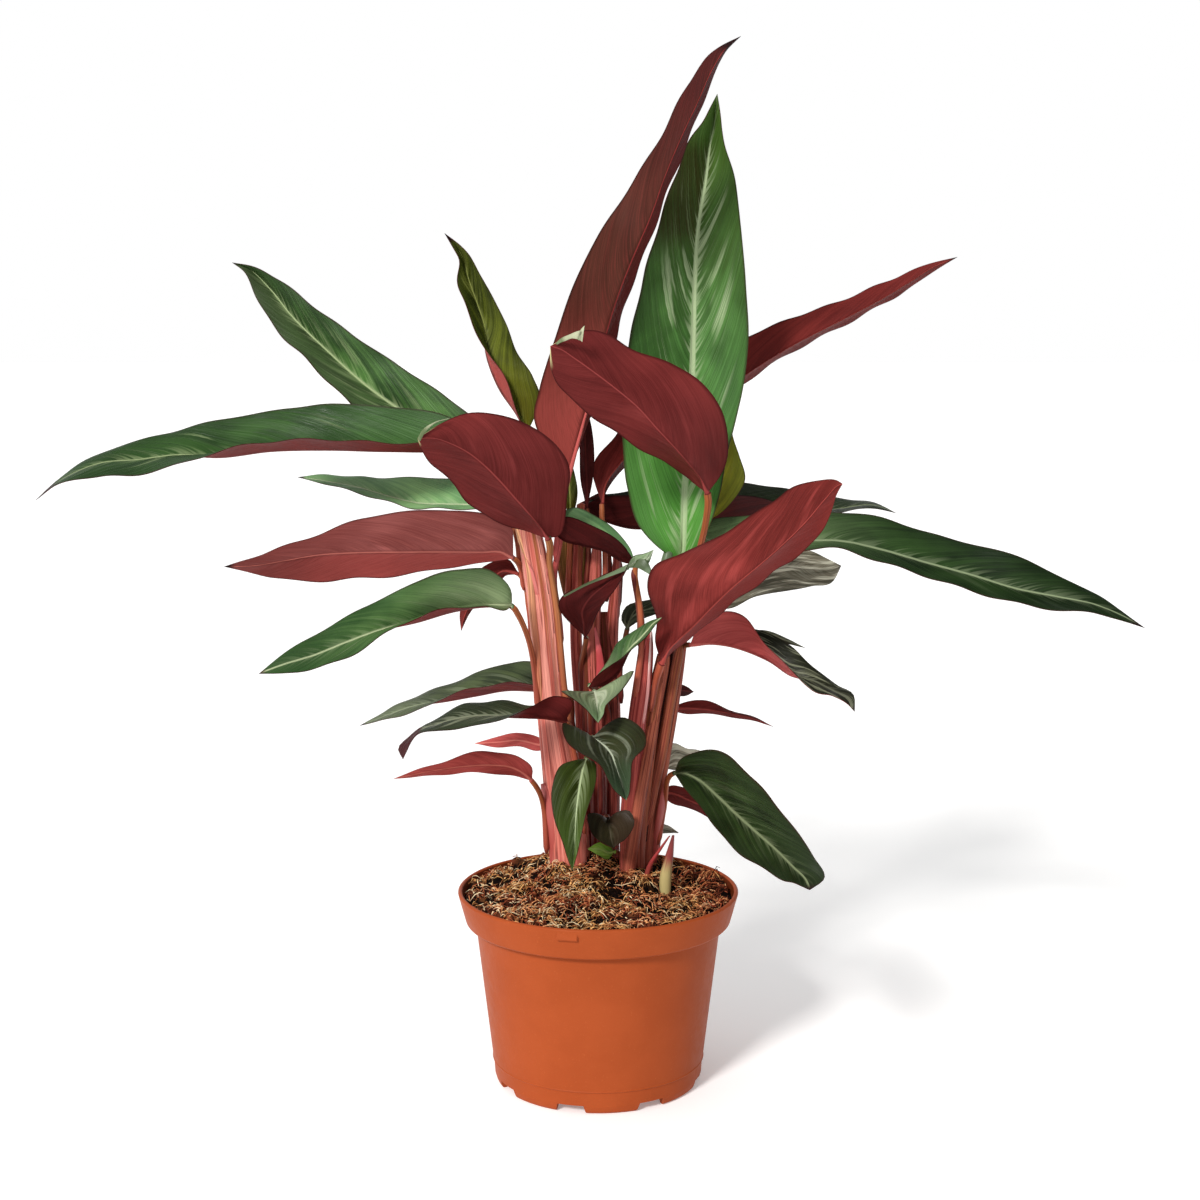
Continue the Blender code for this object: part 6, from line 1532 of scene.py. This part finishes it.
def soil_height(x, y):
    """Height of the soil in mm, arrays welcome."""
    r2 = (x - MOUND_CENTRE[0]) ** 2 + (y - MOUND_CENTRE[1]) ** 2
    mound = MOUND_HEIGHT * np.exp(-r2 / (2 * MOUND_SPREAD ** 2))
    lumps = 0.8 * np.sin(0.17 * x + 0.6) * np.sin(0.19 * y + 1.1)
    lumps += 0.5 * np.sin(0.31 * x - 0.23 * y)
    edge = np.clip((MOUND_EDGE - np.hypot(x, y)) / MOUND_EASE, 0.0, 1.0)
    return SOIL_LEVEL + (mound + lumps - 0.02 * x) * edge


def make_clods(rng):
    """Loose lumps of coir: place, radius and height of each, mm."""
    turn = rng.uniform(0, FULL_TURN, CLODS)
    out = SOIL_RADIUS * np.sqrt(rng.uniform(0, 1, CLODS))
    wide = rng.uniform(*CLOD_RADII, CLODS)
    tall = wide * rng.uniform(*CLOD_RISE, CLODS)
    strewn = np.column_stack((out * np.cos(turn), out * np.sin(turn), wide, tall))
    return np.vstack((strewn, HIGH_CLODS))


def clods(x, y, lumps):
    """Height of the loose coir above the soil's general form, mm: low round the young shoot."""
    apart = (x[:, None] - lumps[:, 0]) ** 2 + (y[:, None] - lumps[:, 1]) ** 2
    near = np.maximum(1.0 - apart / lumps[:, 2] ** 2, 0.0)
    total = (lumps[:, 3] * near ** 0.7).max(axis=1)
    total += 0.5 * np.sin(1.9 * x + 0.9 * np.sin(1.3 * y)) * np.sin(1.7 * y)
    spear_x, spear_y, _ = seen(*SHOOTS["bud_spear"]["core"][0][:3])
    total *= np.clip((np.hypot(x - spear_x, y - spear_y + 3.0) - 3.0) / 6.0, 0.0, 1.0)
    out = np.hypot(x, y)
    return total * np.clip((74.0 - out) / 4.0, 0.0, 1.0) - 1.6 + 2.6 * np.clip((out - 58.0) / 12.0, 0.0, 1.0)


def circle_points(radius, shift=0.0):
    """Points evenly round the pot's axis."""
    angles = [FULL_TURN * (k + shift) / SOIL_SIDES for k in range(SOIL_SIDES)]
    return [(radius * math.cos(angle), radius * math.sin(angle)) for angle in angles]


def soil_piece(look):
    """The soil: a lumpy mound that fills the pot, and loose coir strands that lie on it."""
    rng = np.random.default_rng(SOIL_SEED)
    lumps = make_clods(rng)
    flat = [(0.0, 0.0)]
    for i in range(1, SOIL_RINGS + 1):
        flat += circle_points(SOIL_RADIUS * (i / SOIL_RINGS), 0.5 * (i % 2))
    x, y = np.array(flat).T
    rough = clods(x, y, lumps)
    calm = np.clip((SOIL_RADIUS - np.hypot(x, y)) / 3.0, 0.0, 1.0)
    z = soil_height(x, y) + (rough + rng.normal(0, 0.3, len(x))) * calm - 1.0
    # The soil's tone is near black in the hollows and rises on the clods: painted shade between them.
    tone = 0.02 + 0.035 * np.clip(rough, -1.0, 5.0) + rng.normal(0, 0.04, len(x))
    wall = ((68.4, NECK + 1.8), (NECK_RADIUS - WALL - 0.6, NECK - 0.5), (54.0, 12.6),
            (50.5, FLOOR_UNDERSIDE + 3.2))
    skirt = [(px, py, height) for radius, height in wall for px, py in circle_points(radius)]
    points = np.vstack((np.column_stack((x, y, z)), skirt))
    faces = [(0, 1 + k, 1 + (k + 1) % SOIL_SIDES) for k in range(SOIL_SIDES)]
    faces += bands(SOIL_RINGS + len(wall), SOIL_SIDES, 1, inward=True)
    faces.append(tuple(range(len(points) - SOIL_SIDES, len(points)))[::-1])
    strands, strand_faces, strand_tone = coir_strands(rng, lumps, len(points))
    tone = np.clip(np.concatenate((tone, np.full(len(skirt), WALL_TONE), strand_tone)), 0, 1)
    mesh = new_mesh("soil", np.vstack((points, strands)), faces + strand_faces, [look])
    layer = mesh.attributes.new("tone", "FLOAT", "POINT")
    layer.data.foreach_set("value", tone.astype(np.float32))
    mesh.shade_smooth()
    return placed("soil_fine", mesh)


def strand_start(rng, tufts):
    """Where a strand starts and which way it heads: mostly in a tuft, and else anywhere."""
    if rng.random() < TUFTED:
        x, y, lay = tufts[rng.integers(len(tufts))]
        x += rng.normal(0, TUFT_SPREAD)
        y += rng.normal(0, TUFT_SPREAD)
        return x, y, lay + rng.normal(0, TUFT_TURN)
    return rng.uniform(-71, 71), rng.uniform(-71, 71), rng.uniform(0, FULL_TURN)


def strand_tone(rng, lift, x):
    """A strand's tone: dark, brown, gold or straw, paler where it is lifted, and paler at the left as painted
    light from the lamp there.
    """
    pick = rng.random() + 0.16 * lift
    shade = rng.uniform(*DARK) if pick < DARK_BELOW else rng.uniform(*BROWN)
    if pick > GOLD_ABOVE:
        shade = rng.uniform(*GOLD)
    if pick > STRAW_ABOVE:
        shade = rng.uniform(*STRAW)
    # Paler to the left: painted light.
    return shade - 0.0020 * x


def coir_strands(rng, lumps, start):
    """Loose strands: thin three-sided tubes, in small tufts and singly, that curl over the soil."""
    feet = [(*seen(*s["core"][0][:3])[:2], s["core"][0][3]) for s in SHOOTS.values()]
    points, faces, tones = [], [], []
    tufts = [(rng.uniform(-68, 68), rng.uniform(-68, 68), rng.uniform(0, FULL_TURN)) for _ in range(TUFTS)]
    made = 0
    while made < STRANDS:
        x, y, heading = strand_start(rng, tufts)
        if math.hypot(x, y) > STRAND_START_EDGE or (y > 20 and rng.random() < BARE_BEHIND):
            continue
        if any(math.hypot(x - fx, y - fy) < fr + 0.5 for fx, fy, fr in feet):
            continue
        chip = rng.random() < CHIPS
        long = rng.uniform(*CHIP_LENGTHS) if chip else rng.gamma(2.6, 1.25) + 1.2
        thick = rng.uniform(*(CHIP_RADII if chip else STRAND_RADII))
        lift = rng.uniform(-0.6, 1.4)
        shade = strand_tone(rng, lift, x)
        steps = 2 if long < 4 else 3
        reach = long / steps
        curl = rng.normal(0, 0.10)
        spine = []
        for i in range(steps + 1):
            spine.append((x, y))
            x += math.cos(heading) * reach
            y += math.sin(heading) * reach
            heading += curl * reach
        spine = np.array(spine)
        if np.hypot(spine[:, 0], spine[:, 1]).max() > STRAND_EDGE:
            continue
        s = np.linspace(0, 1, steps + 1)
        z = soil_height(spine[:, 0], spine[:, 1]) + clods(spine[:, 0], spine[:, 1], lumps) - 0.9
        z = 0.5 * z + 0.5 * z.mean() + lift * 0.6
        rise = 0.4 if math.hypot(x - 62, y - 14) < 9 else 0.0
        z += rng.uniform(0.0, 0.34) * long * 4 * s * (1 - s) + (rise + rng.normal(0, 0.22)) * long * s
        line = np.column_stack((spine, z))
        run = unit(np.gradient(line, axis=0))
        side = unit(np.cross(run, (0, 0, 1.0)))
        up = np.cross(side, run)
        first = start + len(points)
        for i in range(steps + 1):
            taper = thick * (1.0 if 0 < i < steps else 0.5)
            for k in range(STRAND_SIDES):
                angle = FULL_TURN * k / STRAND_SIDES
                points.append(line[i] + taper * (math.cos(angle) * side[i] + math.sin(angle) * up[i]))
                tones.append(shade + rng.normal(0, 0.03))
        end = first + STRAND_SIDES * steps
        faces += bands(steps + 1, STRAND_SIDES, first, inward=True)
        faces += [(first, first + 1, first + 2), (end + 2, end + 1, end)]
        made += 1
    return np.array(points), faces, np.array(tones)


# Setting

def make_floor():
    """A wide pale floor."""
    sides = ((-1, -1), (1, -1), (1, 1), (-1, 1))
    square = [(x * FLOOR_HALF, y * FLOOR_HALF, -FLOOR_DROP) for x, y in sides]
    look = Look("floor_white").finish((0.95, 0.95, 0.95), 0.9, Emission_Color=WHITE,
                                      Emission_Strength=FLOOR_GLOW)
    return placed("floor", new_mesh("floor", square, [(0, 1, 2, 3)], [look]))


def make_light():
    """A soft lamp from the upper left, light that is dimmer at the right, and a plain white backdrop."""
    world = bpy.data.worlds.new("studio")
    bpy.context.scene.world = world
    world.use_nodes = True
    n = Nodes(world.node_tree)
    back = n.tree.nodes["Background"]
    rightward, backward = n.split(n.where("Generated"))
    strength = n.most(n.span(rightward, -0.9, 0.9, LEFT_LIGHT, RIGHT_LIGHT), n.span(backward, 0.72, 0.92),
                      n.add("ShaderNodeLightPath").outputs["Is Camera Ray"])
    n.plug(back.inputs["Strength"], strength)
    n.plug(back.inputs["Color"], WHITE)
    sun = bpy.data.lights.new("key", "SUN")
    sun.energy = KEY_LIGHT
    sun.angle = math.radians(KEY_SOFTNESS)
    sun.color = (1.0, 0.98, 0.95)
    placed("key", sun).rotation_euler = Vector(KEY_WAY).to_track_quat("-Z", "Y").to_euler()
    view = bpy.context.scene.view_settings
    view.view_transform = "Standard"
    view.look = "None"
    view.exposure = 0.0


def make_camera():
    """The photograph's view: level with the leaves, looking a little down."""
    camera = bpy.data.cameras.new("camera")
    camera.lens = LENS
    camera.sensor_width = SENSOR
    camera.clip_start = 0.01
    thing = placed("camera", camera)
    thing.location = EYE * MM
    thing.rotation_euler = (math.radians(90.0 - TILT_DOWN), 0.0, 0.0)
    bpy.context.scene.camera = thing


def hold(piece, node):
    """A fine piece stands for its node: it is attached to the root body, and the node is hidden."""
    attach(piece, "root")
    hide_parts(node)


def add(piece):
    """Keep a piece that has no counterpart in the frame."""
    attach(piece, "root")


def main():
    """Build every piece and the setting."""
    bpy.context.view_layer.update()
    looks = make_looks()
    hold(pot_piece(looks["pot_plastic"], looks["pot_plastic_shaded_inside"]), "pot")
    hold(soil_piece(looks["coir_fibre"]), "soil")
    for i, (name, shoot) in enumerate(SHOOTS.items()):
        hold(shoot_piece(name, shoot, looks[shoot["look"]], 1.0 + i), name)
    for i, (name, leaf) in enumerate(LEAVES.items()):
        worn = [looks[leaf.get(side, usual)] for side, usual in USUAL_LOOKS.items()]
        hold(leaf_piece(name, leaf, worn, 1.0 + i), name)
    for i, (name, (look, slot, bow, first, second)) in enumerate(SHARDS.items()):
        add(shard(name, looks[look], bow, first, second, 1.0 + i))
    for i, (name, (look, slot, radii, path)) in enumerate(PETIOLES.items()):
        add(petiole(name, looks[look], radii, path, 1.0 + i))
    make_floor()
    make_light()
    make_camera()


main()
